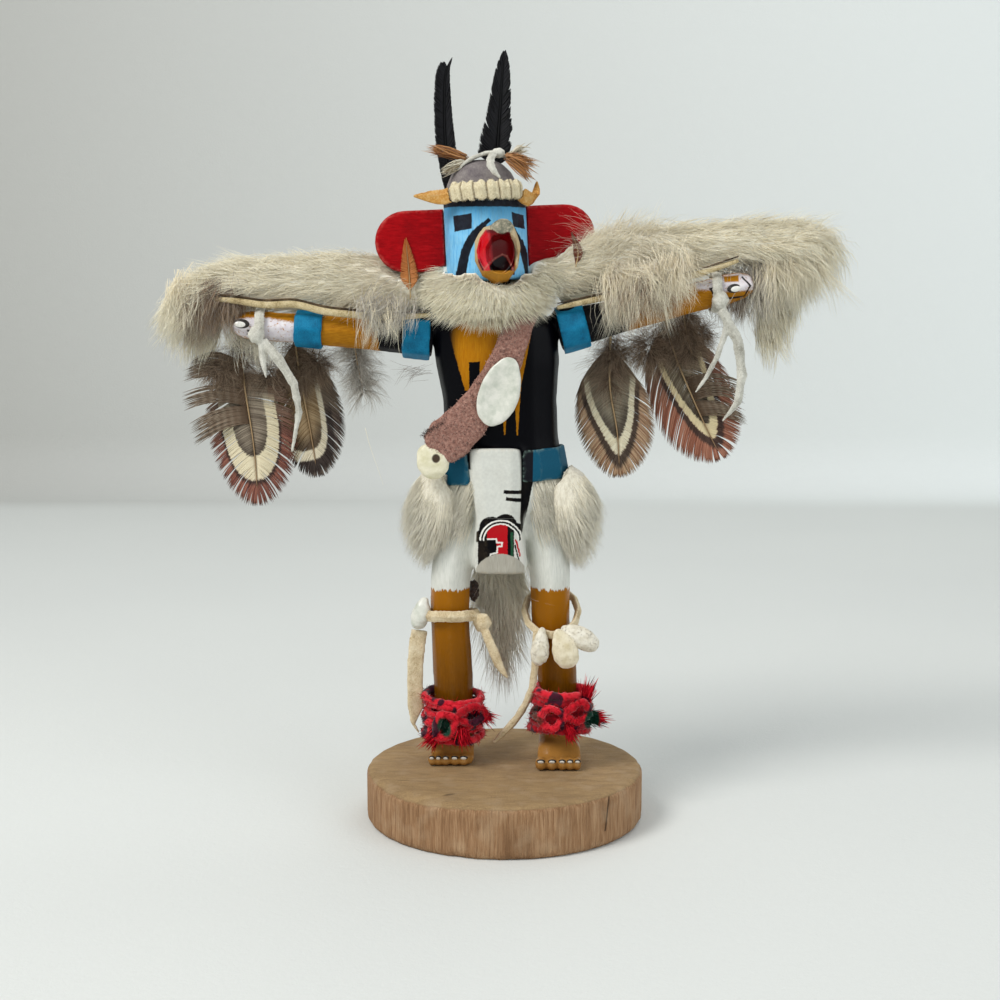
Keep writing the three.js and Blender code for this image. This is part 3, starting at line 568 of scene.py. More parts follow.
floor = helper(mesh)
floor.name = "studioSheet"

print("stage: wooden slab")
slab = {
    "voxel": 0.86, "fibreDepth": 0.16, "chipDepth": 0.5, "dark": (112, 80, 52), "mid": (153, 116, 82),
    "pale": (184, 148, 112),
    "topDark": (130, 105, 73), "topPale": (172, 143, 102), "crack": ((32.9, -0.6), (31.6, -11.5)),
}


def slabLook(bench):
    spot = bench.place()
    x, y, z = bench.split(spot)
    geometry = bench.node("ShaderNodeNewGeometry")
    facing = bench.split(Wire(bench.tree, geometry.outputs["Normal"]))[2]
    fibres = bench.use(brushMarks, Across=0.55, Along=9.0)[0]
    coarse = bench.use(brushMarks, Across=2.6, Along=26.0)[0]
    side = bench.ramp(fibres * 0.62 + coarse * 0.38, (0.3, slab["dark"]), (0.48, slab["mid"]), (0.66, slab["pale"]))
    stain = bench.spot(x + (coarse - 0.5) * 9, z, (3.0, -13.0), (4.5, 7.5), 3.0)
    side = bench.mix(stain * 0.45, side, (104, 72, 44))
    side = bench.mix(bench.stroke(x + (fibres - 0.5) * 0.8, z, *slab["crack"], 0.45, 0.2), side, (58, 38, 24))
    sand = bench.cloud(spot, 0.55, 3.0, 0.7)
    rings = bench.cloud(bench.join(x / 9.0, y / 2.4, z / 5.0), 1.0, 4.0, 0.6, 0.6)
    top = bench.ramp(sand * 0.55 + rings * 0.45, (0.34, slab["topDark"]), (0.66, slab["topPale"]))
    top = bench.mix(bench.use(grime, Size=14.0, Amount=0.4)[0], top, (112, 90, 66))
    knot = bench.spot(x + (sand - 0.5) * 1.2, y, (-17.4, -32.5), (1.9, 0.7), 0.5, 0.5)
    split = bench.stroke(x, y + (rings - 0.5) * 2.0, (-34.5, -17.6), (-25.5, -18.8), 0.35, 0.2)
    top = bench.mix((knot + split).math("MINIMUM", 1.0) * 0.75, top, (70, 52, 36))
    upward = facing.over(0.62 + (sand - 0.5) * 0.5, 0.12)
    colour = bench.mix(upward, side, top)
    dust = bench.level(bench.cloud(spot, 7.0, 4.0), 0.5, 0.7) * 0.25
    colour = bench.mix(dust, colour, (196, 172, 140))
    return {"Base Color": colour, "Roughness": bench.level(sand, 0.3, 0.7, 0.7, 0.92),
            "Height": bench.level(fibres, 0.2, 0.8) * (1.0 - upward) + sand * 0.6}


woodFinish = material("slabWood", slabLook, bump=0.35, Specular_IOR_Level=0.25)
mesh = carved("base_slab", slab["voxel"], 3)
spots = figurePlaces(mesh)
rng = np.random.default_rng(11)
turn = np.arctan2(spots[:, 1], spots[:, 0])
radius = np.hypot(spots[:, 0], spots[:, 1])
ridges = sum(a * np.sin(turn * k + p) for k, a, p in zip(rng.integers(40, 260, 26), rng.uniform(0.15, 0.5, 26),
                                                         rng.uniform(0, 6.3, 26)))
onSide = np.clip((radius - 44.4) / 0.9, 0, 1) * np.clip(-(spots[:, 2]) / 1.2, 0, 1)
radius -= onSide * slab["fibreDepth"] * (0.5 + 0.32 * ridges)
chamfer = np.exp(-((turn + 2.3) / 0.42) ** 2) * np.clip((radius - 41.5) / 4.5, 0, 1)
spots[:, 2] -= chamfer * slab["chipDepth"] * 3.0 * np.clip((spots[:, 2] + 6) / 6, 0, 1)
foot = np.exp(-((turn + 1.9) / 0.06) ** 2) + 0.7 * np.exp(-((turn + 1.55) / 0.03) ** 2)
radius -= foot * slab["chipDepth"] * np.clip((-14.2 - spots[:, 2]) / 2.4, 0, 1)
spots[:, 0], spots[:, 1] = radius * np.cos(turn), radius * np.sin(turn)
spots[:, 2] = np.clip(spots[:, 2], -slabTop * 1000, 0)
setCoords(mesh, at(spots))
piece("woodSlab", mesh, woodFinish, "slab_wood", "base_slab")

print("stage: carved and painted figure")
paint = {
    "black": (5, 5, 9), "ochre": (186, 124, 14), "legTop": (158, 98, 6), "legLow": (88, 52, 2),
    "foot": (160, 112, 52),
    "white": (214, 215, 206), "red": (178, 18, 28), "green": (26, 74, 50), "bodyVoxel": 0.62,
}


def bodyLook(bench):
    spot = bench.place()
    x, y, z = bench.split(spot)
    wave = (bench.cloud(spot, 2.0, 3.0) - 0.5) * 0.8
    fine = (bench.cloud(spot, 0.5, 2.0) - 0.5) * 0.4
    streak = bench.use(brushMarks, Across=0.42, Along=4.0)[0]
    px, pz = x + wave * 0.6 + fine, z + wave * 0.5 + fine
    front = y.under(-1.0, 1.0)
    # white brushed thighs over the ochre legs
    white = bench.ramp(streak, (0.3, (204, 205, 198)), (0.46, paint["white"]), (0.75, (226, 226, 219)))
    down = bench.level(z, 57.0, 22.0)
    leg = bench.mix(down, paint["legTop"], paint["legLow"])
    leg = bench.mix(bench.level(streak, 0.35, 0.7) * 0.3, leg, (150, 92, 8))
    leg = bench.mix(z.under(12.0 + wave, 3.0), leg, paint["foot"])
    ragged = (bench.cloud(bench.join(x / 0.9, y / 0.9, z / 7.0), 1.0, 3.0, 0.6) - 0.5) * 4.5
    colour = bench.mix(z.over(59.0 + ragged, 0.25), leg, white)
    # black torso with the ochre chest and its drips
    night = bench.mix(bench.level(streak, 0.5, 0.8) * 0.25, paint["black"], (13, 14, 22))
    chest = bench.patch(px, pz, [(-20.6, 153), (10.4, 153), (5.0, 125), (-12.8, 125)])
    for drip, half, high, low in ((-6.1, 0.5, 118, 112.4), (0.1, 0.8, 122, 110.8), (4.2, 1.2, 128, 110.6)):
        chest = chest.most(bench.patch(px, pz, [(drip - half, high), (drip + half, high), (drip + 0.1, low),
                                                (drip - 0.3, low)]))
    notch = bench.patch(px, pz, [(-11.5, 134.2), (-8.0, 134.4), (-7.9, 118), (-11.3, 118)])
    ochre = bench.mix(bench.level(streak, 0.35, 0.7), paint["ochre"], (170, 104, 4))
    isOchre = chest * (1.0 - notch) * front
    torso = bench.mix(isOchre, night, ochre)
    colour = bench.mix(z.over(99.6, 0.2), colour, torso)
    strip = bench.patch(px, pz, [(5.0, 108), (9.7, 108), (9.3, 94), (7.4, 86), (6.0, 79), (4.6, 79)]) * front
    colour = bench.mix(strip, colour, paint["black"])
    # the sash with its woven-band border
    sash = bench.patch(x, z, [(-13.6, 107.6), (7.1, 107.6), (6.2, 84), (-10.6, 84)], 0.05)
    sash = sash.most(bench.patch(x, z, [(-10.6, 84), (6.2, 84), (8.4, 63), (-11.0, 63)], 0.05)) * y.under(-4.6, 0.4)
    cloth = bench.mix(bench.level(bench.cloud(spot, 0.9, 4.0), 0.35, 0.65) * 0.5, (204, 205, 197), (220, 221, 212))
    for start, end in (((0.0, 92.6), (7.6, 92.2)), ((0.8, 90.4), (7.6, 89.3))):
        cloth = bench.mix(bench.stroke(px, pz, start, end, 1.2), cloth, paint["black"])
    dx, dz = px + 1.2, pz - 76.6
    reach = (dx * dx + dz * dz).math("SQRT")
    swing = dz.math("ARCTAN2", dx)
    bumps = (swing * 3.4 + 0.3).math("SINE").size()
    above = dz.over(-0.6, 0.3)
    inside = bench.patch(px, pz, [(-8.9, 77.2), (6.6, 77.2), (7.0, 60), (-9.4, 60)]).most(reach.under(8.1))
    cloth = bench.mix(reach.under(7.8 + bumps * 1.3, 0.15) * above, cloth, paint["black"])
    for outer, inner in ((7.0, 6.45), (5.9, 5.4)):
        cloth = bench.mix(reach.under(outer, 0.08) * reach.over(inner, 0.08) * above, cloth, (230, 228, 220))
    panel = (reach.under(5.4, 0.08) * above).most(bench.patch(px, pz, [(-8.6, 76.6), (6.2, 76.6), (6.6, 60),
                                                                       (-9.0, 60)]))
    panelColour = bench.mix(bench.patch(px, pz, [(3.1, 84), (9, 84), (9, 60), (3.1, 60)]), paint["black"],
                            (214, 212, 204))
    panelColour = bench.mix(bench.patch(px, pz, [(1.95, 79.5), (2.75, 79.5), (2.95, 60), (2.15, 60)]), panelColour,
                            paint["green"])
    redPanel = bench.patch(px, pz, [(-5.6, 84), (0.95, 84), (0.95, 60), (-2.4, 60), (-2.4, 77), (-5.6, 77.2)])
    redPanel = redPanel.most(bench.patch(px, pz, [(-2.6, 84), (0.95, 84), (0.95, 60), (-2.6, 60)]))
    redPanel = redPanel.most(bench.patch(px, pz, [(-5.7, 82), (-2, 82), (-2, 77.3), (-5.7, 77.3)]))
    panelColour = bench.mix(redPanel, panelColour, paint["red"])
    hook = [(-5.6, 77.2), (-2.7, 77.3), (-2.5, 76.2), (-0.8, 76.1), (-0.9, 74.9), (-2.3, 74.8), (-2.4, 72.8),
            (-4.5, 72.3), (-4.6, 70.8)]
    for start, end in zip(hook, hook[1:]):
        panelColour = bench.mix(bench.stroke(px, pz, start, end, 0.5), panelColour, (226, 222, 214))
    panelColour = bench.mix(bench.stroke(px, pz, (3.6, 77.0), (5.1, 71.6), 0.5), panelColour, paint["red"])
    panelColour = bench.mix(bench.stroke(px, pz, (3.4, 75.2), (5.1, 68.4), 0.42), panelColour, paint["black"])
    cloth = bench.mix(panel * inside, cloth, panelColour)
    # painted shade: the chamfer at the sash's foot is painted grey, darker than the white cloth
    bx, bz = x + 1.2, z - 63.4
    bevel = (bx * bx + bz * bz).math("SQRT").under(9.0 + fine, 0.15)
    cloth = bench.mix(bevel, cloth, bench.mix(streak, (146, 142, 130), (190, 185, 172)))
    colour = bench.mix(sash, colour, cloth)
    # worn corners and old dust, which the black hides
    light = 1.0 - z.over(99.6, 0.2) * (1.0 - isOchre) * (1.0 - sash)
    colour = bench.mix(bench.use(wornEdge, Amount=0.2)[0] * light, colour, (196, 172, 130))
    colour = bench.mix(bench.use(grime, Size=9.0, Amount=0.12)[0] * light, colour, (96, 78, 52))
    gloss = bench.mix(z.over(59.0 + ragged, 0.3), (96, 96, 96), (186, 186, 186))
    gloss = bench.mix(z.over(99.6, 0.3), gloss, (150, 150, 150))
    return {"Base Color": colour, "Roughness": gloss, "Height": streak + fine}


bodyPaint = material("bodyPaint", bodyLook, bump=0.06, Specular_IOR_Level=0.07)


def roundBody(p):
    # legs and torso are smooth; the sash, the toes and the waist line stay crisp
    sashed = np.clip((p[:, 0] + 15) / 1.5, 0, 1) * np.clip((10 - p[:, 0]) / 1.5, 0, 1) * np.clip((-2.5 - p[:, 1]) / 2,
            0, 1)
    sashed *= np.clip((p[:, 2] - 60) / 2, 0, 1) * np.clip((109 - p[:, 2]) / 1.5, 0, 1)
    return (1 - sashed) * np.clip((p[:, 2] - 5) / 6, 0.12, 1)


feet = {
    "right": {"toes": [(-24.2, 1.25), (-22.0, 1.25), (-19.6, 1.4), (-16.6, 1.6), (-13.6, 1.75)], "y": -1.0, "z": 1.9,
              "nailZ": 3.0},
    "left": {"toes": [(11.9, 1.8), (15.6, 1.75), (18.9, 1.5), (21.5, 1.35), (24.0, 1.35)], "y": -6.5, "z": 2.15,
             "nailZ": 3.4},
}
toes = [egg((x, foot["y"], foot["z"]), (half, 2.7, foot["z"])) for foot in feet.values() for x, half in foot["toes"]]
shoulders = [egg((21, 8, 147.5), (6, 6.5, 6)), egg((-25.5, 8, 146), (6, 6.5, 6))]
painted = piece("paintedBody", carved("body", paint["bodyVoxel"], 2, 0.12, 46, roundBody, toes + shoulders),
                bodyPaint, "body_paint", "body")


def nailWhite(bench):
    return {"Base Color": bench.mix(bench.cloud(bench.place(), 0.5, 3.0), (206, 202, 190), (250, 249, 244))}


def nailRim(bench):
    return {"Base Color": bench.mix(bench.cloud(bench.place(), 0.4, 3.0), (10, 8, 8), (44, 34, 28))}


nailFinish = material("nailWhite", nailWhite, Roughness=0.22, Specular_IOR_Level=0.6)
rimFinish = material("nailRim", nailRim, Roughness=0.4)
for side, foot in feet.items():
    whites, rims = [], []
    for x, half in foot["toes"]:
        y = frontOf(painted.data, x, foot["nailZ"], 0.5)
        whites.append(egg((x, y - 0.02, foot["nailZ"]), (half * 0.58, 0.42, 0.78), lean=0.7, segments=16))
        rims.append(egg((x + 0.08, y + 0.16, foot["nailZ"] + 0.1), (half * 0.8, 0.42, 1.08), lean=0.7, segments=16))
    piece("toeNails_" + side, whites + rims, [nailFinish] * 5 + [rimFinish] * 5, "body_paint")

arm = {"voxel": 0.5, "sleeve": {"right": -41.0, "left": 40.5}}


def armLook(side):
    sign = -1.0 if side == "right" else 1.0

    def look(bench):
        spot = bench.place()
        x, y, z = bench.split(spot)
        out = x * sign
        wave = (bench.cloud(spot, 2.0, 3.0) - 0.5) * 2.4
        fine = (bench.cloud(spot, 0.6, 4.0, 0.7) - 0.5) * 2.4
        streak = bench.use(brushMarks, Across=2.5, Along=0.4)[0]
        ochre = bench.mix(bench.level(streak, 0.3, 0.7), (180, 122, 22), (146, 92, 8))
        night = bench.mix(bench.level(streak, 0.5, 0.8) * 0.3, paint["black"], (20, 21, 30))
        colour = bench.mix(out.under(abs(arm["sleeve"][side]) + wave, 0.4), ochre, night)
        if side == "right":  # white below, worn off along the top
            chalk = bench.patch(x, z + fine, [(-92, 147.4), (-78, 148.6), (-66, 146.4), (-66, 134), (-92, 134)], 0.5)
            marks = [((-82.9, 144.2), (-80.9, 144.0)), ((-83.3, 143.1), (-81.6, 142.6)),
                     ((-82.6, 142.0), (-80.8, 141.7)), ((-79.4, 146.2), (-78.4, 145.0))]
        else:  # white above the thumb, ochre below
            chalk = bench.patch(x, z + fine, [(60.5, 165), (84, 168), (84, 156), (72, 156.8), (62, 156.4)], 0.5)
            chalk = chalk * (1.0 - bench.patch(x + wave * 0.3, z, [(70.6, 161.6), (75.6, 162), (75.2, 159.9),
                                                                   (70.8, 159.7)], 0.3))
            marks = [((66.4, 157.4), (67.4, 155.6)), ((76.6, 161.4), (79.0, 158.6)), ((79.0, 158.6), (77.6, 155.2)),
                     ((77.6, 155.2), (72.4, 154.6)),
                     ((68.4, 161.0), (70.4, 162.4)), ((66.0, 157.6), (67.2, 157.8))]
        chalk = chalk * bench.level(bench.cloud(spot, 0.9, 5.0, 0.75), 0.36, 0.44) * y.under(4.0 + wave, 1.0)
        colour = bench.mix(chalk, colour, bench.mix(bench.cloud(spot, 1.4, 2.0), (196, 186, 196), (236, 233, 232)))
        for start, end in marks:
            colour = bench.mix(bench.stroke(x + fine * 0.1, z + fine * 0.1, start, end, 0.6, 0.2) * y.under(3.0, 1.0),
                               colour, (22, 16, 18))
        return {"Base Color": colour, "Roughness": bench.level(streak, 0.2, 0.8, 0.4, 0.56), "Height": streak}

    return look


thumbs = {"right": ((-85.2, 146.3), (1.9, 1.0), 0.05), "left": ((74.2, 157.6), (1.7, 0.95), -0.16)}
for side in ("right", "left"):
    finish = material("armPaint_" + side, armLook(side), bump=0.05, Specular_IOR_Level=0.1)
    limb = piece("paintedArm_" + side, carved("arm_" + side, arm["voxel"], 2, 0.1, 14), finish, "arm_paint",
                 "arm_" + side)
    (x, z), (wide, tall), tilt = thumbs[side]
    sign = -1.0 if side == "right" else 1.0
    y = frontOf(limb.data, x, z, 1.2)
    piece("thumbNail_" + side, [egg((x, y - 0.05, z), (wide, 0.55, tall), tilt),
                                egg((x - sign * 0.5, y + 0.2, z + 0.15), (wide * 1.3, 0.55, tall * 1.5), tilt)],
          [nailFinish, rimFinish], "arm_paint")

print("stage: mask")
mask = {
    "voxel": 0.43, "blue": (124, 196, 236), "blueDeep": (88, 168, 222), "teal": (30, 120, 164), "capZ": 186.5,
    "eyes": {"right": [(-16.4, 180.6), (-10.5, 181.3), (-10.4, 176.6), (-16.0, 175.6)],
             "left": [(2.1, 181.8), (6.1, 181.0), (6.5, 176.6), (2.7, 177.2)]},
    "bands": ([(-5.0, 179.2), (-6.8, 177.6), (-8.2, 176.2), (-9.5, 174.8), (-10.6, 173.2), (-11.6, 171.3),
               (-12.5, 169.1), (-13.2, 166.1), (-13.9, 162.1), (-14.2, 158)],
              [(2.8, 176.3), (4.1, 174.0), (5.0, 172.4), (5.7, 170.3), (6.4, 168.3), (7.0, 166.3), (7.5, 164.3),
               (7.9, 160)]),
    "bandWidth": ((1.3, 1.8, 2.2, 2.5, 2.7, 2.8, 2.9, 3.1, 3.4), (1.4, 1.8, 2.1, 2.2, 2.3, 2.4, 2.4)),
    "lining": [(-5.6, 176.5), (2.6, 175.6), (4.4, 169.0), (4.2, 162.0), (-7.0, 162.0), (-8.4, 167.0)],
}


def maskLook(bench):
    spot = bench.place()
    x, y, z = bench.split(spot)
    wave = (bench.cloud(spot, 1.6, 3.0) - 0.5) * 0.5
    streak = bench.use(brushMarks, Across=0.4, Along=5.0)[0]
    px, pz = x + wave, z + wave
    front = y.under(5.0, 0.5)
    blue = bench.ramp(streak, (0.32, mask["blueDeep"]), (0.5, mask["blue"]), (0.72, (150, 204, 234)))
    blue = bench.mix(bench.level(z + (streak - 0.5) * 8, 178, 183.5) * 0.75, blue, mask["teal"])
    for corners in mask["eyes"].values():
        blue = bench.mix(bench.patch(px, pz, corners, 0.14) * front, blue,
                         bench.mix(streak, (8, 8, 14), (34, 36, 48)))
    for points, widths in zip(mask["bands"], mask["bandWidth"]):
        for start, end, width in zip(points, points[1:], widths):
            blue = bench.mix(bench.stroke(px, pz, start, end, width, 0.16) * front, blue, (12, 16, 26))
    blue = bench.mix(z.over(183.4 + wave, 0.2), blue, (14, 16, 24))
    # the mouth's red behind the beak, darkened as painted shade deep inside the mouth
    blue = bench.mix(bench.patch(px, pz, mask["lining"]) * y.under(-3.0), blue, (60, 4, 8))
    blue = bench.mix(bench.use(grime, Size=3.0, Amount=0.16)[0], blue, (70, 90, 110))
    felt = bench.cloud(spot, 0.45, 4.0, 0.7)
    cap = bench.ramp(bench.cloud(spot, 5.0, 3.0) * 0.5 + felt * 0.5, (0.36, (96, 88, 92)), (0.64, (150, 143, 138)))
    isCap = z.over(mask["capZ"] + wave, 0.3)
    return {"Base Color": bench.mix(isCap, blue, cap), "Roughness": bench.level(isCap, 0, 1, 0.5, 0.95),
            "Height": streak * (1.0 - isCap) + felt * isCap}


maskPaint = material("maskPaint", maskLook, bump=0.12, Specular_IOR_Level=0.16)
piece("paintedMask", carved("head", mask["voxel"], 2, 0.05, 12, lambda p: np.where(abs(p[:, 2] - mask["capZ"]) < 1.6,
        0.2, 1.0)), maskPaint, "mask_paint", "head")

beak = {
    "voxel": 0.28, "aside": -1.0, "mouth": [(-5.3, 176.1), (2.3, 175.0), (3.8, 169.0), (3.8, 163.0), (-6.4, 163.0),
                                            (-7.7, 166.0), (-8.2, 169.6), (-7.2, 173.4)],
    "tongue": [(-4.2, 164.6), (-3.0, 166.3), (-1.3, 167.5), (0.0, 167.9), (1.1, 167.3), (2.3, 165.4), (3.2, 162.4),
               (-3.4, 162.0)],
    "gum": [(-7.0, 165.2), (-5.6, 163.9), (-3.9, 165.8), (-2.3, 167.2), (-0.1, 168.4), (1.4, 167.9), (2.7, 165.2),
            (3.5, 163.0)],
}


def mouthColourAndShading(bench, px, pz, streak):
    # red mouth paint with painted light and shade on its hollow: the left inner wall painted bright as lit, the back
    # face dark red as shaded
    red = bench.mix(bench.level(px + (pz - 170) * 0.12, -3.9, -3.1), (196, 6, 18), (112, 2, 8))
    # a painted highlight, pale pink, low on the left inner wall
    red = bench.mix(bench.level(pz, 170.5, 165.0) * px.under(-3.6, 0.8), red, (214, 44, 60))
    # pale streaks along the fold are painted highlights on its edge
    for start, end in (((-4.5, 175.8), (-3.7, 171.0)), ((-3.7, 171.0), (-3.2, 166.4))):
        red = bench.mix(bench.stroke(px, pz, start, end, 0.7, 0.35) * 0.55, red, (176, 52, 60))
    # painted shade: darker red under the upper beak
    red = bench.mix(bench.patch(px, pz, [(-5.4, 177), (2.6, 177), (2.4, 174.2), (-5.0, 175.0)], 0.4) * 0.7, red,
                    (70, 10, 14))
    red = bench.mix(bench.patch(px, pz, beak["tongue"], 0.2), red, bench.mix(streak, (4, 3, 3), (24, 10, 12)))
    for start, end in zip(beak["gum"], beak["gum"][1:]):
        red = bench.mix(bench.stroke(px, pz, start, end, 0.4, 0.3) * 0.6, red, (196, 128, 112))
    red = bench.mix(bench.stroke(px, pz, (-7.5, 166.6), (-6.2, 163.4), 0.6, 0.3), red, (52, 20, 10))
    return bench.mix(bench.patch(px, pz, [(-9, 163.3), (5, 163.3), (5, 161), (-9, 161)], 0.2), red, (176, 120, 36))


def beakLook(bench):
    spot = bench.place()
    x, y, z = bench.split(spot)
    wave = (bench.cloud(spot, 1.2, 3.0) - 0.5) * 0.5
    streak = bench.use(brushMarks, Across=0.5, Along=3.0)[0]
    px, pz = x + wave + 0.7, z + wave
    flank = bench.mix(bench.level(z, 171, 163), (196, 178, 142), (176, 120, 28))
    flank = bench.mix(bench.level(streak, 0.3, 0.7) * 0.35, flank, (166, 128, 64))
    stone = bench.ramp(bench.cloud(spot, 1.3, 4.0, 0.65), (0.35, (92, 94, 80)), (0.5, (128, 124, 106)),
                       (0.66, (176, 166, 144)))
    stone = bench.mix(bench.level(z, 178.6, 180.2), stone, (206, 194, 172))
    colour = bench.mix(bench.spot(px, pz, (-0.3, 177.1), (3.6, 3.5), 0.3) * y.under(-6.0 + wave, 0.8), flank, stone)
    inside = bench.patch(px, pz, beak["mouth"], 0.15) * y.under(2.0, 0.5) * (1.0 - bench.spot(px, pz, (-0.3, 177.3),
            (3.0, 2.7), 0.2))
    colour = bench.mix(inside, colour, mouthColourAndShading(bench, px, pz, streak))
    colour = bench.mix(bench.stroke(px, pz, (3.4, 175.2), (4.8, 163.6), 0.7, 0.2) * y.under(0.0, 0.5), colour,
                       (204, 186, 152))
    return {"Base Color": colour, "Roughness": bench.level(inside, 0, 1, 0.6, 0.3), "Height": streak + wave}


def liningLook(bench):
    spot = bench.place()
    x, y, z = bench.split(spot)
    wave = (bench.cloud(spot, 1.2, 3.0) - 0.5) * 0.3
    return {"Base Color": mouthColourAndShading(bench, x + wave + 0.7, z + wave, bench.cloud(spot, 0.8, 3.0)), "Height": wave}


beakPaint = material("beakPaint", beakLook, bump=0.08, Specular_IOR_Level=0.2)
beakMesh = carved("beak", beak["voxel"], 2, 0.05, 8)
setCoords(beakMesh, coords(beakMesh) + (beak["aside"] * millimetre, 0, 0))
piece("paintedBeak", beakMesh, beakPaint, "beak_paint", "beak")
work = bmesh.new()  # the mouth's hollow: half an egg, open to the front
bmesh.ops.create_uvsphere(work, u_segments=40, v_segments=28, radius=1.0)
bmesh.ops.bisect_plane(work, geom=work.verts[:] + work.edges[:] + work.faces[:], plane_co=(0, -0.15, 0),
                       plane_no=(0, -1, 0), clear_outer=True)
bmesh.ops.solidify(work, geom=work.faces[:], thickness=-0.06)
bmesh.ops.recalc_face_normals(work, faces=work.faces)
lining = bpy.data.meshes.new("lining")
work.to_mesh(lining)
work.free()
setCoords(lining, at(coords(lining) * (5.4, 3.2, 7.0) + (-2.6, -10.4, 169.2)))
tongue = egg((-1.4, -11.2, 163.6), (2.7, 3.0, 3.2), 0.1, -0.5)
piece("mouthLining", [lining, tongue], material("mouthPaint", liningLook, bump=0.05, Roughness=0.28,
                                                Specular_IOR_Level=0.3), "beak_paint")


def tabletLook(bench):
    spot = bench.place()
    streak = bench.use(brushMarks, Across=3.2, Along=0.5)[0]
    red = bench.ramp(streak, (0.3, (134, 2, 10)), (0.52, (160, 5, 14)), (0.75, (178, 16, 24)))
    red = bench.mix(bench.use(wornEdge, Amount=0.5)[0], red, (214, 110, 100))
    red = bench.mix(bench.use(grime, Size=6.0, Amount=0.3)[0], red, (96, 4, 10))
    return {"Base Color": red, "Roughness": bench.level(bench.cloud(spot, 2.0, 4.0), 0.3, 0.7, 0.28, 0.46),
            "Height": streak}


tabletPaint = material("tabletPaint", tabletLook, bump=0.03, Specular_IOR_Level=0.09)
for side in ("right", "left"):
    piece("redTablet_" + side, carved("ear_tablet_" + side, 0.5, 3), tabletPaint, "tablet_paint",
          "ear_tablet_" + side)
print("stage: fur")


def unit(vectors):
    return vectors / (np.linalg.norm(vectors, axis=-1, keepdims=True) + 1e-12)


def scatter(mesh, count, rng, weight=None):
    # roots spread evenly over a skin, with its normals, in figure millimetres
    mesh.calc_loop_triangles()
    corners = np.empty(len(mesh.loop_triangles) * 3, np.int32)
    mesh.loop_triangles.foreach_get("vertices", corners)
    corners = corners.reshape(-1, 3)
    places, normals = figurePlaces(mesh), pointNormals(mesh)
    a, b, c = (places[corners[:, i]] for i in range(3))
    area = np.linalg.norm(np.cross(b - a, c - a), axis=1)
    if weight is not None:
        area = area * weight((a + b + c) / 3, unit(normals[corners].sum(axis=1)))
    picked = rng.choice(len(area), count, p=area / area.sum())
    first, second = rng.random((2, count, 1))
    over = first + second > 1
    first, second = np.where(over, 1 - first, first), np.where(over, 1 - second, second)
    mixed = [v[corners[picked, 0]] * (1 - first - second) + v[corners[picked, 1]] * first + v[corners[picked,
            2]] * second
             for v in (places, normals)]
    return mixed[0], unit(mixed[1])


def combed(roots, normals, lay, length, rng, levels=4, lift=0.5, droop=0.2, stray=0.2, curl=0.0, clump=0.4, lock=14):
    # hair lines: they leave the skin, turn along lay, sag, and gather into locks
    count = len(roots)
    wander = rng.normal(size=(count, 3)) * stray
    leaders = rng.choice(count, max(2, count // lock), replace=False)
    tree = kdtree.KDTree(len(leaders))
    for i, leader in enumerate(leaders):
        tree.insert(roots[leader], i)
    tree.balance()
    leader = leaders[[tree.find(root)[1] for root in roots]]
    swirl = rng.normal(size=(count, 3))[leader] * curl
    points = [roots]
    step = (length / (levels - 1))[:, None]
    for k in range(1, levels):
        t = k / (levels - 1)
        heading = normals * lift * (1.35 - t) + lay + wander * (0.4 + t) + swirl * math.sin(2.6 * t)
        heading[:, 2] -= droop * t
        points.append(points[-1] + unit(heading) * step)
    points = np.stack(points, axis=1)
    share = (np.linspace(0, 1, levels) ** 1.3 * clump)[None, :, None]
    return points + (points[leader] - points) * share


def hairs(lines, thickness, shade, rng, tip=0.35, normals=None):
    # strand meshes from hair lines in figure millimetres; with normals they lie flat along the coat
    count, levels = lines.shape[:2]
    taper = np.linspace(1.0, tip, levels)[None, :]
    wide = thickness * millimetre * taper * rng.uniform(0.7, 1.3, (count, 1))
    facing = rng.normal(size=(count, 3))
    if normals is None:
        return stems(at(lines), wide, shade=shade, facing=unit(facing))
    return stems(at(lines), wide * 1.4, wide * 0.4, shade=shade, facing=unit(normals + facing * 0.1))


def fall(rows, count, length, lay, rng, spread=(1.2, 1.0, 1.2), levels=4, thickness=0.07, lift=0.15, droop=0.3,
         stray=0.2, curl=0.2,
         clump=0.5, lock=18, shade=(0.0, 0.4)):
    # a curtain of hair from a line of places
    line = path(rows, 60)
    roots = line[rng.integers(0, 60, count)] + rng.normal(size=(count, 3)) * spread
    lines = combed(roots, np.tile((0.0, -1.0, 0.0), (count, 1)), np.tile(unit(np.array(lay, float)), (count, 1)),
                   rng.uniform(*length, count), rng,
                   levels=levels, lift=lift, droop=droop, stray=stray, curl=curl, clump=clump, lock=lock)
    return hairs(lines, thickness, rng.uniform(*shade, count), rng)


def hairNodes(bench, root, tip, dark):
    along, shade = bench.mark("along"), bench.mark("shade")
    colour = bench.mix(along.over(0.35, 0.35), root, tip)
    return [bench.mix(shade.math("MINIMUM", 1.0), colour, dark)]


hairTone = effect("hairTone", {"Root": tone(150, 138, 116), "Tip": tone(232, 226, 204), "Dark": tone(96, 80, 66)},
                  {"Color": "NodeSocketColor"}, hairNodes)


def furMaterial(name, root, tip, dark):
    def look(bench):
        spot = bench.place()
        colour = bench.use(hairTone, Root=root, Tip=tip, Dark=dark)[0]
        broad = bench.level(bench.cloud(spot, 9.0, 3.0), 0.35, 0.7)
        return {"Base Color": bench.mix(broad * 0.12, colour, root)}

    return material(name, look, Roughness=0.75, Specular_IOR_Level=0.2, Sheen_Weight=0.6, Sheen_Roughness=0.4)


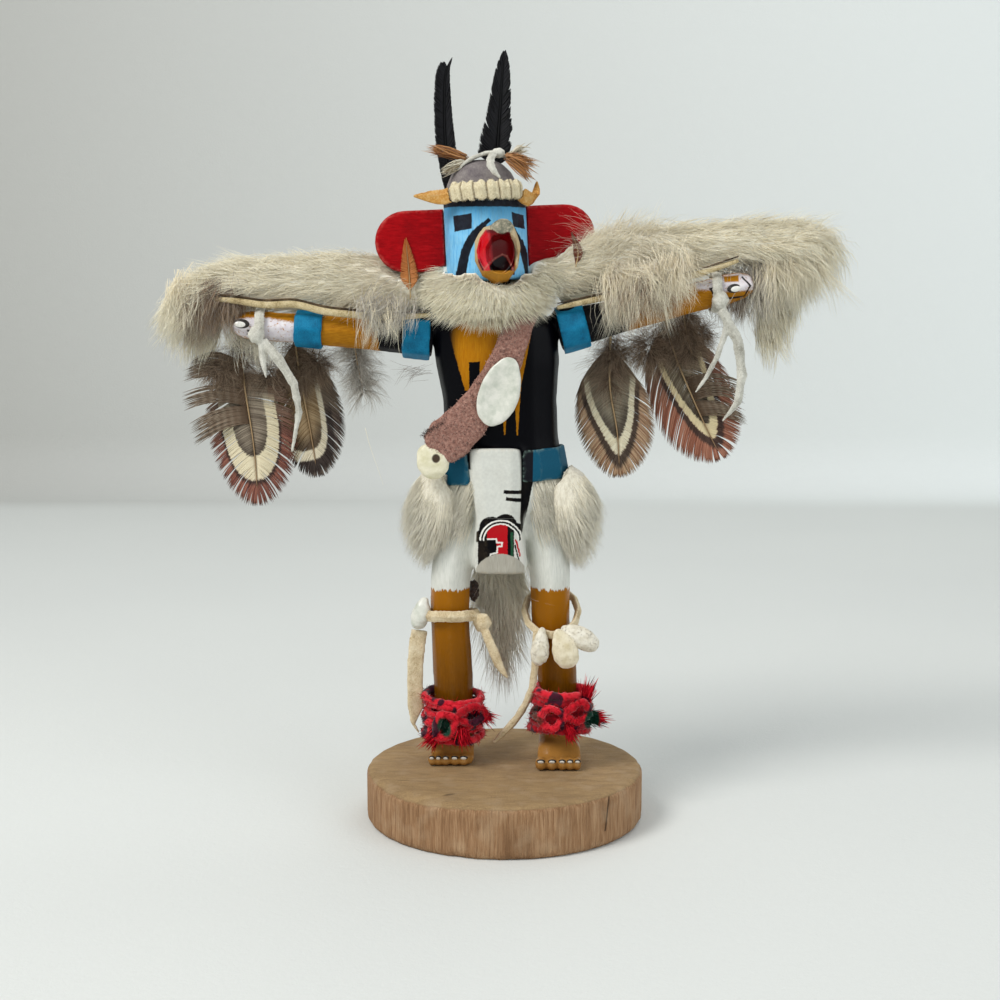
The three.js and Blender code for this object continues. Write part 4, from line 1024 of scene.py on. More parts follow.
def underMaterial(name, low, high, grain, brown=None):
    # the soft undercoat below the longer hair, streaked the way it lies
    def look(bench):
        x, y, z = bench.split(bench.place())
        streak = bench.cloud(bench.join(x / grain[0], y / grain[1], z / grain[2]), 1.0, 4.0, 0.65)
        colour = bench.ramp(streak, (0.34, low), (0.62, high))
        if brown:
            colour = brown(bench, x, y, z, colour)
        return {"Base Color": colour, "Height": streak}

    return material(name, look, bump=0.4, Roughness=0.9, Specular_IOR_Level=0.1, Sheen_Weight=0.3)


def wingBrown(bench, x, y, z, colour):
    left = x.under(-87.0, 4.0) * z.under(155.5, 2.5) * y.under(11.0, 2.0)
    right = x.over(71.0, 3.0) * z.under(166.0, 2.5) * y.under(11.0, 2.0)
    return bench.mix((left + right).math("MINIMUM", 1.0) * 0.85, colour, (150, 122, 96))


wingUnder = underMaterial("wingUnder", (240, 231, 208), (255, 251, 236), (7.0, 0.8, 0.8), wingBrown)
ruffUnder = underMaterial("ruffUnder", (242, 234, 212), (255, 251, 238), (0.8, 0.8, 5.0))
hipUnder = underMaterial("hipUnder", (200, 192, 172), (230, 224, 206), (0.8, 0.8, 6.0))
creamFur = furMaterial("creamFur", (255, 243, 210), (255, 249, 224), (164, 138, 108))
ruffFur = furMaterial("ruffFur", (255, 243, 210), (255, 249, 222), (232, 212, 176))
whiteFur = furMaterial("whiteFur", (240, 232, 208), (246, 240, 220), (196, 186, 164))
brownFur = furMaterial("brownFur", (150, 120, 92), (186, 160, 130), (92, 70, 52))
greyFur = furMaterial("greyFur", (206, 196, 178), (236, 230, 214), (92, 84, 76))

hideLine = {"right": ([-110, -93, -86, -67, -49, -37, -20], [157, 156.9, 155.6, 154.9, 151.4, 151.0, 151.5]),
            "left": ([14, 18, 30, 43, 53, 63, 74, 110], [153, 153.7, 156.6, 159.1, 162, 164.2, 167.7, 171])}
pelt = {
    "voxel": 0.9, "inset": 1.9, "down": 6600, "guard": 7150, "wisps": 520, "downLength": (4.0, 7.5),
    "guardLength": (8.0, 14.0), "wispLength": (13.0, 23.0), "thickness": 0.062,
}


def wingLay(places, normals, sign):
    # outwards along the wing, turning down round its end
    out = np.clip((places[:, 0] * sign - 90) / 14, 0, 1)
    lay = np.zeros_like(places)
    lay[:, 0] = sign * (1.0 - 0.55 * out)
    lay[:, 2] = 0.28 * np.clip(normals[:, 2], -0.4, 1) - 0.9 * out
    if sign > 0:  # this wing's hair stands up near the mask and spills over the forearm
        near = np.exp(-(((places[:, 0] - 36) / 12) ** 2)) * np.clip(normals[:, 2] + 0.4, 0, 1)
        lay[:, 2] += 1.5 * near
        spill = np.exp(-(((places[:, 0] - 47) / 9) ** 2)) * np.clip(-normals[:, 1], 0, 1)
        lay[:, 2] -= 1.3 * spill
        lay[:, 1] -= 0.5 * spill
        lay[:, 2] += 0.8 * np.clip((places[:, 0] - 84) / 12, 0, 1) * np.clip(normals[:, 2], 0, 1)
        low = np.clip((166 - places[:, 2]) / 6, 0, 1) * np.clip((places[:, 0] - 66) / 6, 0, 1)
        lay[:, 2] -= 2.2 * low
        lay[:, 0] -= 0.5 * low
    else:  # this one lies flat, with grey hair falling where it meets the shoulder
        fall = np.exp(-(((places[:, 0] + 36) / 7) ** 2)) * np.clip(-normals[:, 1], 0, 1)
        lay[:, 2] -= 0.5 * fall
        lay[:, 1] -= 0.3 * fall
        low = np.clip((150 - places[:, 2]) / 6, 0, 1) * np.clip((-80 - places[:, 0]) / 6, 0, 1)
        lay[:, 2] -= 0.8 * low
    return unit(lay)


def aboveHide(side):
    def weight(places, normals):
        line = np.interp(places[:, 0], *hideLine[side])
        edge = abs(places[:, 0])
        bare = (places[:, 2] < line + 0.6) & (places[:,
                                                     1] < 9) & (edge > 22) & (edge < (90 if side == "right" else 76))
        if side == "left":
            bare &= ~((places[:, 0] > 38) & (places[:, 0] < 57))
        return np.where(bare, 0.02, 1.0)

    return weight


def brownness(places, side, rng):
    # the darker fur behind the hands and the greyer hair near the mask
    x, z = places[:, 0], places[:, 2]
    front = np.clip((11 - places[:, 1]) / 5, 0, 1)
    if side == "right":
        dark = 0.9 * np.clip((-86 - x) / 3, 0, 1) * np.clip((x + 105) / 4, 0, 1) * np.clip((157 - z) / 3, 0,
                1) * front
        grey = 0.2 * np.exp(-(((x + 36) / 9) ** 2))
    else:
        dark = 0.6 * np.exp(-(((x - 82) / 9) ** 2)) * np.clip((167 - z) / 3, 0, 1) * front
        grey = 0.18 * np.exp(-(((x - 38) / 12) ** 2)) + 0.12 * np.clip((places[:, 2] - 176) / 6, 0, 1)
    return np.clip(dark + grey + rng.random(len(x)) ** 3 * 0.3, 0, 1)


for side, sign, seed in (("right", -1.0, 3), ("left", 1.0, 4)):
    rng = np.random.default_rng(seed)
    skin = carved("wing_pelt_" + side, pelt["voxel"], 6, -pelt["inset"], 10)
    roots, normals = scatter(skin, pelt["down"], rng, aboveHide(side))
    lines = combed(roots, normals, wingLay(roots, normals, sign), rng.uniform(*pelt["downLength"], len(roots)), rng,
                   levels=3, lift=0.55, stray=0.28, clump=0.2, lock=30)
    down = hairs(lines, pelt["thickness"] * 1.2, brownness(roots, side, rng), rng, normals=normals)
    piece("wingPelt_" + side, [skin, down], [wingUnder, creamFur], "cream_fur", "wing_pelt_" + side)
    roots, normals = scatter(skin, pelt["guard"], rng, aboveHide(side))
    lines = combed(roots, normals, wingLay(roots, normals, sign), rng.uniform(*pelt["guardLength"], len(roots)), rng,
                   lift=0.34, droop=0.3, stray=0.15, curl=0.14, clump=0.5, lock=22)
    guard = hairs(lines, pelt["thickness"], brownness(roots, side, rng), rng, normals=normals)
    roots, normals = scatter(skin, pelt["wisps"], rng, aboveHide(side))
    lines = combed(roots, normals, wingLay(roots, normals, sign), rng.uniform(*pelt["wispLength"], len(roots)), rng,
                   lift=0.7, droop=0.3, stray=0.5, curl=0.3, clump=0.2, lock=3)
    wisps = hairs(lines, pelt["thickness"] * 0.8, brownness(roots, side, rng) * 0.8, rng, normals=normals)
    piece("wingGuardHair_" + side, [guard, wisps], creamFur, "cream_fur")

# hair that falls over the arms and behind the hands
rng = np.random.default_rng(43)
overArm = {
    "left": [
        ([(33, -1.6, 160.5), (45, -2.2, 163.0), (58, -1.8, 167.0)], 1250, (12.0, 22.0), (0.12, -0.1, -1.0), creamFur,
         (0.0, 0.5)),
        ([(35, -1.6, 157), (50, -2.2, 161)], 380, (10.0, 19.0), (0.2, -0.05, -1.0), brownFur, (0.0, 0.5)),
        ([(84, 5.0, 166), (92, 6.5, 168), (99, 8.0, 170)], 1150, (12.0, 26.0), (0.12, 0.1, -1.0), creamFur,
         (0.0, 0.4)),
        ([(74, 8.0, 162), (82, 7.0, 164), (88, 8.0, 166)], 800, (10.0, 23.0), (0.16, 0.1, -1.0), greyFur, (0.0, 0.6)),
        ([(70, 9.0, 158), (80, 8.0, 160)], 600, (8.0, 15.0), (0.1, 0.1, -1.0), brownFur, (0.2, 1.0)),
    ],
    "right": [
        ([(-46, -2.0, 153.6), (-38, -2.6, 152.4), (-30, -2.0, 152.0)], 420, (7.0, 14.0), (-0.15, -0.1, -1.0), greyFur,
         (0.0, 0.7)),
        ([(-44, -2.2, 151), (-35, -2.6, 150.5)], 130, (8.0, 18.0), (-0.1, -0.1, -1.0), creamFur, (0.0, 0.3)),
        ([(-101, 3.0, 154), (-93, 2.6, 156), (-86, 4.0, 155)], 1900, (8.0, 15.0), (-0.28, 0.1, -1.0), brownFur,
         (0.0, 0.9)),
        ([(-107, 5.0, 157), (-100, 4.0, 160)], 900, (12.0, 22.0), (-0.1, -0.05, -1.0), creamFur, (0.0, 0.25)),
        ([(-90, 9.0, 143.6), (-77, 9.0, 143.0)], 420, (7.0, 12.0), (0.08, 0.0, -1.0), whiteFur, (0.0, 0.3)),
    ],
}
for side, bunches in overArm.items():
    meshes = [fall(rows, count, length, lay, rng, spread=(1.8, 1.0, 2.4), stray=0.32, curl=0.4, clump=0.6,
                   shade=shade) for rows, count, length, lay, finish, shade in bunches]
    piece("armHair_" + side, meshes, [bunch[4] for bunch in bunches], "cream_fur")

ruff = {"voxel": 0.8, "inset": 1.7, "count": 9600, "length": (4.0, 7.5), "thickness": 0.066}
rng = np.random.default_rng(5)
rises = [egg((-20.0, 7.5, 162.0), (5.5, 5.0, 5.2)), egg((13.2, 7.5, 163.2), (8.0, 5.0, 5.6))]
skin = carved("neck_ruff", ruff["voxel"], 6, -ruff["inset"], 16, extras=rises)
roots, normals = scatter(skin, ruff["count"], rng, lambda p, n: np.where((p[:, 1] < 0) | (n[:, 2] > -0.3), 1.0, 0.5))
lay = np.stack([(roots[:, 0] + 4.5) * 0.075, (roots[:, 1] - 6) * 0.05, np.full(len(roots), -0.75)], axis=1)
lay[:, 2] += np.clip(normals[:, 2], 0, 1) * 0.75
lines = combed(roots, normals, unit(lay), rng.uniform(*ruff["length"], len(roots)), rng, levels=3, lift=0.42,
               droop=0.15, stray=0.1, clump=0.2, lock=14)
hair = hairs(lines, ruff["thickness"], rng.random(len(roots)) ** 3 * 0.25, rng, normals=normals)
piece("neckRuff", [skin, hair], [ruffUnder, ruffFur], "cream_fur", "neck_ruff")

hip = {"voxel": 0.8, "inset": 1.4, "count": 5200, "length": (5.5, 9.5), "thickness": 0.066, "thigh": 2700}
for side, sign, seed in (("right", -1.0, 6), ("left", 1.0, 7)):
    rng = np.random.default_rng(seed)
    skin = carved("hip_fur_" + side, hip["voxel"], 6, -hip["inset"], 20)
    roots, normals = scatter(skin, hip["count"], rng)
    lay = np.zeros_like(roots)
    lay[:, 0] = sign * 0.42 + normals[:, 0] * 0.15
    lay[:, 2] = -1.0
    lines = combed(roots, normals, unit(lay), rng.uniform(*hip["length"], len(roots)), rng, levels=3, lift=0.25,
                   droop=0.25, stray=0.1, clump=0.3, lock=20)
    hair = hairs(lines, hip["thickness"], rng.random(len(roots)) ** 2 * 0.25, rng, normals=normals)
    inner = -9.5 if side == "right" else 8.5

    def overThigh(p, n, sign=sign, inner=inner, side=side):
        # the fur runs on over the front of the thigh, thinning downwards and inwards
        high = 96.5 if side == "right" else 98.5
        edge = np.clip((p[:, 0] - inner) * sign / 3.0, 0, 1)
        return edge * np.clip((p[:, 2] - 79) / 10, 0, 1) * (p[:, 2] < high) * (n[:, 1] < 0.3)

    roots, normals = scatter(painted.data, hip["thigh"], rng, overThigh)
    lay = np.tile((sign * 0.3, 0.0, -1.0), (len(roots), 1))
    lines = combed(roots, normals, unit(lay), rng.uniform(6.0, 11.0, len(roots)), rng, levels=3, lift=0.22, droop=0.1,
                   stray=0.08, clump=0.2, lock=16)
    thigh = hairs(lines, hip["thickness"], rng.random(len(roots)) ** 2 * 0.15, rng, normals=normals)
    piece("hipFur_" + side, [skin, hair, thigh], [hipUnder, whiteFur, whiteFur], "white_fur", "hip_fur_" + side)

tail = {"voxel": 0.9, "inset": 2.6, "count": 3800, "length": (12.0, 24.0), "thickness": 0.07}
rng = np.random.default_rng(8)
skin = carved("tail_fur", tail["voxel"], 6, -tail["inset"], 20)
roots, normals = scatter(skin, tail["count"], rng)
lay = np.stack([normals[:, 0] * 0.2 + 0.04, normals[:, 1] * 0.1, np.full(len(roots), -1.0)], axis=1)
lines = combed(roots, normals, unit(lay), rng.uniform(*tail["length"], len(roots)), rng, levels=3, lift=0.3,
               droop=0.2, stray=0.22, curl=0.2, clump=0.35, lock=12)
hair = hairs(lines, tail["thickness"], rng.random(len(roots)) ** 2 * 0.12, rng, normals=normals)
wild = fall([(-6, 14, 66), (0, 14, 60), (4, 14, 52)], 170, (12.0, 26.0), (0.25, 0.0, -1.0), rng, stray=0.5, curl=0.4,
            thickness=0.045, lock=3)
piece("tailFur", [skin, hair, wild], [hipUnder, whiteFur, whiteFur], "white_fur", "tail_fur")

# single hairs: across the red tablet, at the armpit and below the wing
strayHairs = [
    ([(30, 1, 168), (34, 0, 176)], 70, (10.0, 22.0), (-1.0, -0.15, 0.25), 0.4, creamFur, (0.0, 0.3), 0.035),
    ([(26, 2, 158), (36, 2, 166)], 60, (8.0, 18.0), (-0.7, -0.2, 0.7), 0.5, creamFur, (0.0, 0.4), 0.035),
    ([(-31.5, 3, 132), (-24.5, 3, 131)], 34, (5.0, 9.0), (-0.8, -0.2, -0.25), 0.35, brownFur, (0.9, 1.0), 0.05),
]
rng = np.random.default_rng(44)
meshes = [fall(rows, count, length, lay, rng, stray=stray, curl=0.5, thickness=thick, lock=2, clump=0.1, shade=shade,
               levels=6)
          for rows, count, length, lay, stray, finish, shade, thick in strayHairs]
line = path([(-46, 8, 112), (-44.5, 8, 106), (-41.8, 8, 98), (-40.2, 8, 93)], 24)[None]
meshes.append(stems(at(line), np.linspace(0.09, 0.04, 24)[None] * millimetre, sides=5, pointed=False))
piece("looseHairs", meshes, [bunch[5] for bunch in strayHairs] + [whiteFur], "cream_fur")

print("stage: feathers")


def vaneOf(rows, outlines, rng, barbs, start, finish, width, facing=(0, -1, 0), cup=0.06, splits=0.2, group=(6, 20),
           bend=0.3, levels=6):
    # a feather's vane: barbs from the shaft to an outline of (across in mm, share along), and its shaft line
    shaft = path(rows, 80)
    length = np.linalg.norm(np.diff(shaft, axis=0), axis=1).sum()
    share = np.linspace(0, 1, len(shaft))
    facing = unit(np.asarray(facing, float))
    sidewise = unit(np.cross(np.gradient(shaft, axis=0), facing))
    lines, vane = [], []
    for side, outline in zip((-1, 1), outlines):
        outline = np.asarray(outline, float)
        walk = np.append(0, np.cumsum(np.hypot(np.diff(outline[:, 0]), np.diff(outline[:, 1]) * length)))
        walk /= walk[-1]
        u = (np.arange(barbs) + rng.uniform(-0.3, 0.3, barbs)).clip(0, barbs) / barbs
        ends = u.copy()
        first = 0
        while first < barbs:  # barbs hook together in groups, with slits between them
            last = min(barbs, first + rng.integers(*group))
            middle = u[first:last].mean()
            ends[first:last] = middle + (u[first:last] - middle) * (1 - rng.uniform(0.2, 1.0) * splits)
            first = last
        endAcross = np.interp(ends, walk, outline[:, 0]) * side * rng.uniform(0.96, 1.02, barbs)
        endAlong = np.interp(ends, walk, outline[:, 1]) + rng.normal(0, 0.006, barbs)
        root = start + (finish - start) * u
        t = np.linspace(0, 1, levels)[None, :]
        midAcross, midAlong = endAcross * 0.58, root + (endAlong - root) * bend
        across = 2 * (1 - t) * t * midAcross[:, None] + t**2 * endAcross[:, None]
        along = (1 - t) ** 2 * root[:, None] + 2 * (1 - t) * t * midAlong[:, None] + t**2 * endAlong[:, None]
        spread = np.stack([np.interp(along, share, shaft[:, i]) for i in range(3)], axis=-1)
        sides = np.stack([np.interp(along, share, sidewise[:, i]) for i in range(3)], axis=-1)
        lift = across**2 * cup + rng.normal(0, 0.12, (barbs, 1)) * t
        lines.append(spread + sides * across[:, :, None] - facing * lift[:, :, None])
        vane.append(np.stack([across, along, np.zeros_like(across)], axis=-1))
    lines, vane = np.concatenate(lines), np.concatenate(vane)
    taper = np.interp(np.linspace(0, 1, levels), (0, 0.15, 0.75, 1), (0.6, 1, 0.9, 0.25))[None, :]
    wide = np.repeat(taper * width * millimetre, len(lines), axis=0)
    mesh = stems(at(lines), wide, wide * 0.22, facing=np.tile(facing, (len(lines), 1)), shade=rng.random(len(lines)),
                 extra=vane)
    return mesh, shaft, sidewise


def quillOf(shaft, radius, until=0.93):
    line = shaft[: int(len(shaft) * until) : 3][None] + (0, -0.25, 0)
    wide = np.linspace(radius, radius * 0.3, line.shape[1])[None] * millimetre
    return stems(at(line), wide, sides=6)


def downOf(shaft, sidewise, rng, count, span, length, thickness, curl=0.5, droop=0.3):
    # soft curling down beside the shaft's upper part
    pick = (rng.uniform(*span, count) * (len(shaft) - 1)).astype(int)
    side = rng.choice((-1, 1), count)[:, None]
    normals = unit(sidewise[pick] * side + rng.normal(size=(count, 3)) * (0.35, 0.25, 0.35))
    along = unit(np.gradient(shaft, axis=0))[pick]
    lines = combed(shaft[pick] + normals * 0.2, normals, along * 0.5, rng.uniform(*length, count), rng,
                   levels=5, lift=0.9, droop=droop, stray=0.35, curl=curl, clump=0.5, lock=9)
    return hairs(lines, thickness, rng.random(count), rng)


def flap(rootFrom, rootTo, tipFrom, tipTo, bulge, count, rng, width=0.24, levels=6):
    # a loose group of barbs that has come away from its vane; corners in figure millimetres
    s = (np.arange(count) + rng.uniform(-0.3, 0.3, count))[:, None] / count
    start = np.subtract(rootTo, rootFrom) * s + rootFrom
    end = np.subtract(tipTo, tipFrom) * s + tipFrom + rng.normal(size=(count, 3)) * (0.5, 0.2, 0.4)
    t = np.linspace(0, 1, levels)[None, :, None]
    lines = start[:, None] + (end - start)[:, None] * t + np.sin(t * math.pi) * bulge + rng.normal(size=(count, 1,
            3)) * 0.15 * t
    taper = np.interp(np.linspace(0, 1, levels), (0, 0.15, 0.7, 1), (0.6, 1, 0.9, 0.2))[None, :]
    wide = np.repeat(taper * width * millimetre, count, axis=0)
    along = np.repeat(np.linspace(0, 1, levels)[None], count, axis=0)
    vane = np.stack([along * 12, np.full_like(along, 0.2), along * 0], axis=-1)
    return stems(at(lines), wide, wide * 0.25, facing=np.tile((0, -1.0, 0), (count, 1)), shade=rng.random(count),
                 extra=vane)


def puff(centre, radii, count, length, rng, thickness=0.05, pull=(0, 0, -0.5), curl=0.6):
    # soft curling down around a place
    away = unit(rng.normal(size=(count, 3)) * (1, 0.5, 1))
    roots = np.array(centre) + away * radii * rng.uniform(0.1, 0.6, (count, 1))
    lines = combed(roots, away, np.tile(pull, (count, 1)).astype(float), rng.uniform(*length, count), rng, levels=5,
                   lift=1.0, droop=0.2, stray=0.4,
                   curl=curl, clump=0.4, lock=8)
    return hairs(lines, thickness, rng.random(count), rng)


def roundOutline(width, centre, reach):
    swing = np.linspace(2.3, 0.0, 24)
    return np.stack([width * np.sin(swing) * (1 - 0.12 * np.cos(swing)), centre + reach * np.cos(swing)], axis=1)


def gameLook(setting):
    # grey-brown vane with a cream band shaped like a U or a V, a dark chevron and a rusty tip
    def look(bench):
        across, along = bench.split(bench.marks("vane"))[:2]
        shade = bench.mark("shade")
        spot = bench.place()
        jitter = (bench.cloud(spot, 0.8, 3.0) - 0.5) * 0.05 + (shade - 0.5) * 0.03
        a = ((across - setting["lean"]) / setting["bandWidth"]).size() + jitter
        down = ((along - setting["bandStart"]) / setting["bandDepth"]).most(0.0) + jitter
        power = setting["power"]
        ring = (a.most(0.001).math("POWER", power) + down.math("POWER", power)).math("POWER", 1 / power)
        inner = bench.mix(bench.level(shade, 0.2, 0.8), setting["inner"], setting["innerPale"])
        inner = bench.mix(ring.over(0.62, 0.2) * down.over(0.35, 0.3) * 0.8, inner, (50, 38, 30))
        cream = bench.mix(shade * 0.5, setting["cream"], (196, 180, 146))
        outer = bench.mix(bench.level(shade, 0.1, 0.9), setting["tip"], setting["tipPale"])
        outer = bench.mix(along.over(0.985 + jitter, 0.02) * 0.6, outer, (44, 28, 24))
        outer = bench.mix(down.under(0.25, 0.3) * 0.75, outer, (112, 98, 82))
        half = setting["bandHalf"]
        chevron = ring.over(1.0 + half, 0.03) * ring.under(1.0 + half + setting["chevron"], 0.06) * down.over(0.1,
                0.15)
        outer = bench.mix(chevron * 0.9, outer, (48, 38, 34))
        colour = bench.mix(ring.over(1.0, 0.02), inner, outer)
        band = ring.over(1.0 - half, 0.03) * ring.under(1.0 + half, 0.03) * along.over(setting["bandTop"], 0.05)
        colour = bench.mix(band, colour, cream)
        colour = bench.mix(along.under(setting["downEnd"] + (shade - 0.5) * 0.14, 0.05) * 0.75, colour,
                           (120, 100, 80))
        return {"Base Color": colour}

    return look


def downLook(low, high):
    def look(bench):
        shade, along = bench.mark("shade"), bench.mark("along")
        colour = bench.ramp(shade, (0.1, low), (0.85, high))
        return {"Base Color": bench.mix(along.over(0.6, 0.4) * 0.3, colour, high)}

    return look


def quillLook(bench):
    spot = bench.place()
    colour = bench.mix(bench.mark("along"), (206, 178, 128), (150, 118, 84))
    return {"Base Color": bench.mix(bench.cloud(spot, 0.8, 2.0) * 0.4, colour, (120, 92, 60))}


quillFinish = material("quill", quillLook, Roughness=0.4)
brownDown = material("brownDown", downLook((92, 72, 56), (166, 146, 124)), Roughness=0.8, Specular_IOR_Level=0.2)
greyDown = material("greyDown", downLook((140, 130, 118), (214, 208, 196)), Roughness=0.8, Specular_IOR_Level=0.2)

gameFeathers = {
    "right_1": {
        "rows": [(-87.5, 14.6, 143), (-86.6, 13.0, 128), (-83.6, 12.2, 106), (-82.4, 12.6, 85.2)], "width": 15.4,
        "seed": 21,
        "bandWidth": 7.6, "bandStart": 0.52, "bandDepth": 0.27, "bandHalf": 0.24, "bandTop": 0.46, "power": 2.3,
        "lean": 0.4,
        "chevron": 0.1, "inner": (104, 92, 78), "innerPale": (146, 134, 116), "cream": (224, 214, 184),
        "tip": (108, 62, 54),
        "tipPale": (150, 98, 80), "downEnd": 0.36, "start": 0.3, "splits": 0.55,
    },
    "right_2": {
        "rows": [(-70.5, 17.2, 146), (-68.2, 16.6, 128), (-65.0, 16.2, 110), (-62.8, 16.0, 94.4)], "width": 12.2,
        "seed": 22,
        "bandWidth": 7.4, "bandStart": 0.5, "bandDepth": 0.33, "bandHalf": 0.11, "bandTop": 0.3, "power": 3.0,
        "lean": 2.4,
        "chevron": 0.3, "inner": (128, 104, 72), "innerPale": (160, 138, 104), "cream": (214, 206, 184),
        "tip": (60, 44, 44),
        "tipPale": (118, 104, 92), "downEnd": 0.28, "start": 0.12, "splits": 0.25,
    },
    "left_1": {
        "rows": [(35.2, 14.2, 145), (35.0, 13.6, 126), (37.6, 13.0, 110), (38.6, 13.2, 94.6)], "width": 13.4,
        "seed": 23,
        "bandWidth": 7.6, "bandStart": 0.3, "bandDepth": 0.47, "bandHalf": 0.12, "bandTop": 0.3, "power": 1.5,
        "lean": 0.0,
        "chevron": 0.22, "inner": (112, 102, 84), "innerPale": (152, 144, 124), "cream": (222, 216, 190),
        "tip": (150, 112, 84),
        "tipPale": (190, 160, 128), "downEnd": 0.3, "start": 0.12, "splits": 0.3,
    },
    "left_2": {
        "rows": [(53.0, 17.4, 149), (57.6, 17.0, 134), (66.4, 16.4, 114), (73.4, 16.0, 100.4)], "width": 14.6,
        "seed": 24,
        "bandWidth": 6.6, "bandStart": 0.34, "bandDepth": 0.42, "bandHalf": 0.13, "bandTop": 0.12, "power": 1.5,
        "lean": -1.0,
        "chevron": 0.24, "inner": (104, 92, 74), "innerPale": (146, 134, 112), "cream": (222, 206, 164),
        "tip": (136, 82, 62),
        "tipPale": (178, 124, 100), "downEnd": 0.12, "start": 0.08, "splits": 0.35,
    },
}


def looseLook(bench):
    across, along = bench.split(bench.marks("vane"))[:2]
    bars = (across * 4.0 + bench.mark("shade") * 0.8).math("SINE")
    colour = bench.mix(bench.level(bars, -0.8, 1.2), (128, 112, 94), (170, 156, 136))
    return {"Base Color": bench.mix(bench.level(across, 0.0, 6.0) * 0.5, (98, 78, 60), colour)}


looseFinish = material("looseBarbs", looseLook, Roughness=0.55, Specular_IOR_Level=0.3)
looseBarbs = {
    "right_1": [(((-86.9, 12.6, 133), (-86.2, 12.4, 124), (-103.6, 11, 134), (-106.4, 11, 127), (0, -1.0, 3.4)), 60),
                (((-86.2, 12.4, 124), (-85.8, 12.3, 119), (-106.6, 11, 123), (-106.0, 11, 117.4), (0, -0.8, 2.2)),
                 36),
                (((-85.8, 12.3, 119), (-85.0, 12.2, 113), (-104.4, 11, 113.4), (-103.0, 11, 105.4), (0, -0.6, 1.8)),
                 46)],
    "left_2": [(((60.0, 16.6, 128), (63.0, 16.5, 120), (79.6, 15.0, 127), (80.4, 15.0, 119), (0, -0.8, 2.4)), 26),
               (((63.0, 16.5, 120), (65.5, 16.4, 115), (80.6, 15.0, 116.5), (81.0, 15.0, 112), (0, -0.6, 1.6)), 22)],
}
softBalls = {
    "right_1": [((-94, 11.5, 131), (6.0, 2.0, 5.0), 900, (5.0, 10.0)), ((-78.5, 13.4, 130), (4.0, 2.0, 7.0), 500,
                                                                        (5.0, 10.0))],
    "right_2": [((-62.5, 15.5, 133), (6.0, 2.0, 6.5), 900, (5.0, 11.0)),
                ((-68.0, 15.5, 128), (3.0, 2.0, 7.0), 400, (5.0, 10.0))],
    "left_1": [((36.5, 13.4, 136), (6.0, 2.0, 6.0), 800, (5.0, 10.0)), ((47.5, 12.8, 138), (6.5, 2.0, 8.5), 1100,
                                                                        (5.0, 11.0))],
    "left_2": [((64.0, 15.0, 143), (7.5, 2.0, 4.0), 900, (4.0, 9.0))],
}
ballFinish = {"right_1": brownDown, "right_2": brownDown, "left_1": brownDown, "left_2": brownDown}
for name, setting in gameFeathers.items():
    rng = np.random.default_rng(setting["seed"])
    outline = roundOutline(setting["width"], 0.62, 0.38)
    mesh, shaft, sidewise = vaneOf(setting["rows"], (outline, outline), rng, 190, setting["start"], 0.9, 0.26,
                                   splits=setting["splits"],
                                   cup=0.012)
    down = downOf(shaft, sidewise, rng, 720, (0.02, 0.36), (8.0, 15.0), 0.05, curl=0.35)
    loose = [flap(*corners, count, rng) for corners, count in looseBarbs.get(name, [])]
    soft = [puff(*ball, rng) for ball in softBalls.get(name, [])]
    vane = material("gameVane_" + name, gameLook(setting), Roughness=0.55, Specular_IOR_Level=0.3)
    piece("gameFeather_" + name, [mesh, quillOf(shaft, 0.42), down] + loose + soft,
          [vane, quillFinish, brownDown] + [looseFinish] * len(loose) + [ballFinish[name]] * len(soft),
          "pheasant_feather", "wing_feather_" + name)

fluffs = {
    "right_3": {"rows": [(-50, 13.6, 146), (-49, 13.6, 134), (-46.4, 14, 122)], "seed": 25, "finish": greyDown,
                "length": (7.0, 14.0)},
    "left_3": {"rows": [(59, 13.6, 152), (60, 13.4, 144), (62.6, 13.2, 134)], "seed": 26, "finish": brownDown,
               "length": (7.0, 12.0)},
}
for name, setting in fluffs.items():
    rng = np.random.default_rng(setting["seed"])
    shaft = path(setting["rows"], 80)
    sidewise = unit(np.cross(np.gradient(shaft, axis=0), (0, -1.0, 0)))
    down = downOf(shaft, sidewise, rng, 1500, (0.0, 0.95), setting["length"], 0.05, curl=0.6)
    piece("downFeather_" + name, [quillOf(shaft, 0.35), down], [quillFinish, setting["finish"]], "pheasant_feather",
          "wing_feather_" + name)


def blackLook(bench):
    shade = bench.mark("shade")
    return {"Base Color": bench.ramp(shade, (0.2, (5, 5, 7)), (0.95, (16, 16, 21)))}


blackVane = material("blackVane", blackLook, Roughness=0.5, Specular_IOR_Level=0.22)
crownFeathers = {
    "right": {
        "rows": [(-17.6, 14.6, 186), (-18.9, 15.8, 198), (-19.6, 16, 212), (-19.3, 16, 226), (-17.4, 15.8, 232.6)],
        "seed": 31,
        "outlines": ([(0.8, 0.0), (2.2, 0.16), (3.4, 0.4), (3.6, 0.6), (3.2, 0.8), (2.6, 0.88), (1.4, 0.9)],
                     [(0.8, 0.02), (2.4, 0.15), (3.6, 0.34), (2.8, 0.5), (1.8, 0.7), (0.9, 0.86), (0.5, 1.0)]),
        "start": -0.02, "finish": 0.84, "splits": 0.07,
    },
    "left": {
        "rows": [(-2.4, 10.6, 197), (-2.2, 10.4, 204), (-1.4, 10.2, 216), (-0.6, 10, 228), (0.0, 10, 234.2)],
        "seed": 32,
        "outlines": ([(6.6, 0.16), (6.2, 0.22), (6.0, 0.3), (5.6, 0.34), (4.6, 0.42), (3.4, 0.6), (2.0, 0.78),
                      (1.0, 0.9), (0.1, 1.0)],
                     [(3.4, 0.12), (4.6, 0.26), (3.6, 0.3), (4.6, 0.38), (3.6, 0.45), (3.2, 0.6), (2.2, 0.78),
                      (1.0, 0.93), (0.1, 1.0)]),
        "start": 0.02, "finish": 0.9, "splits": 0.34,
    },
}
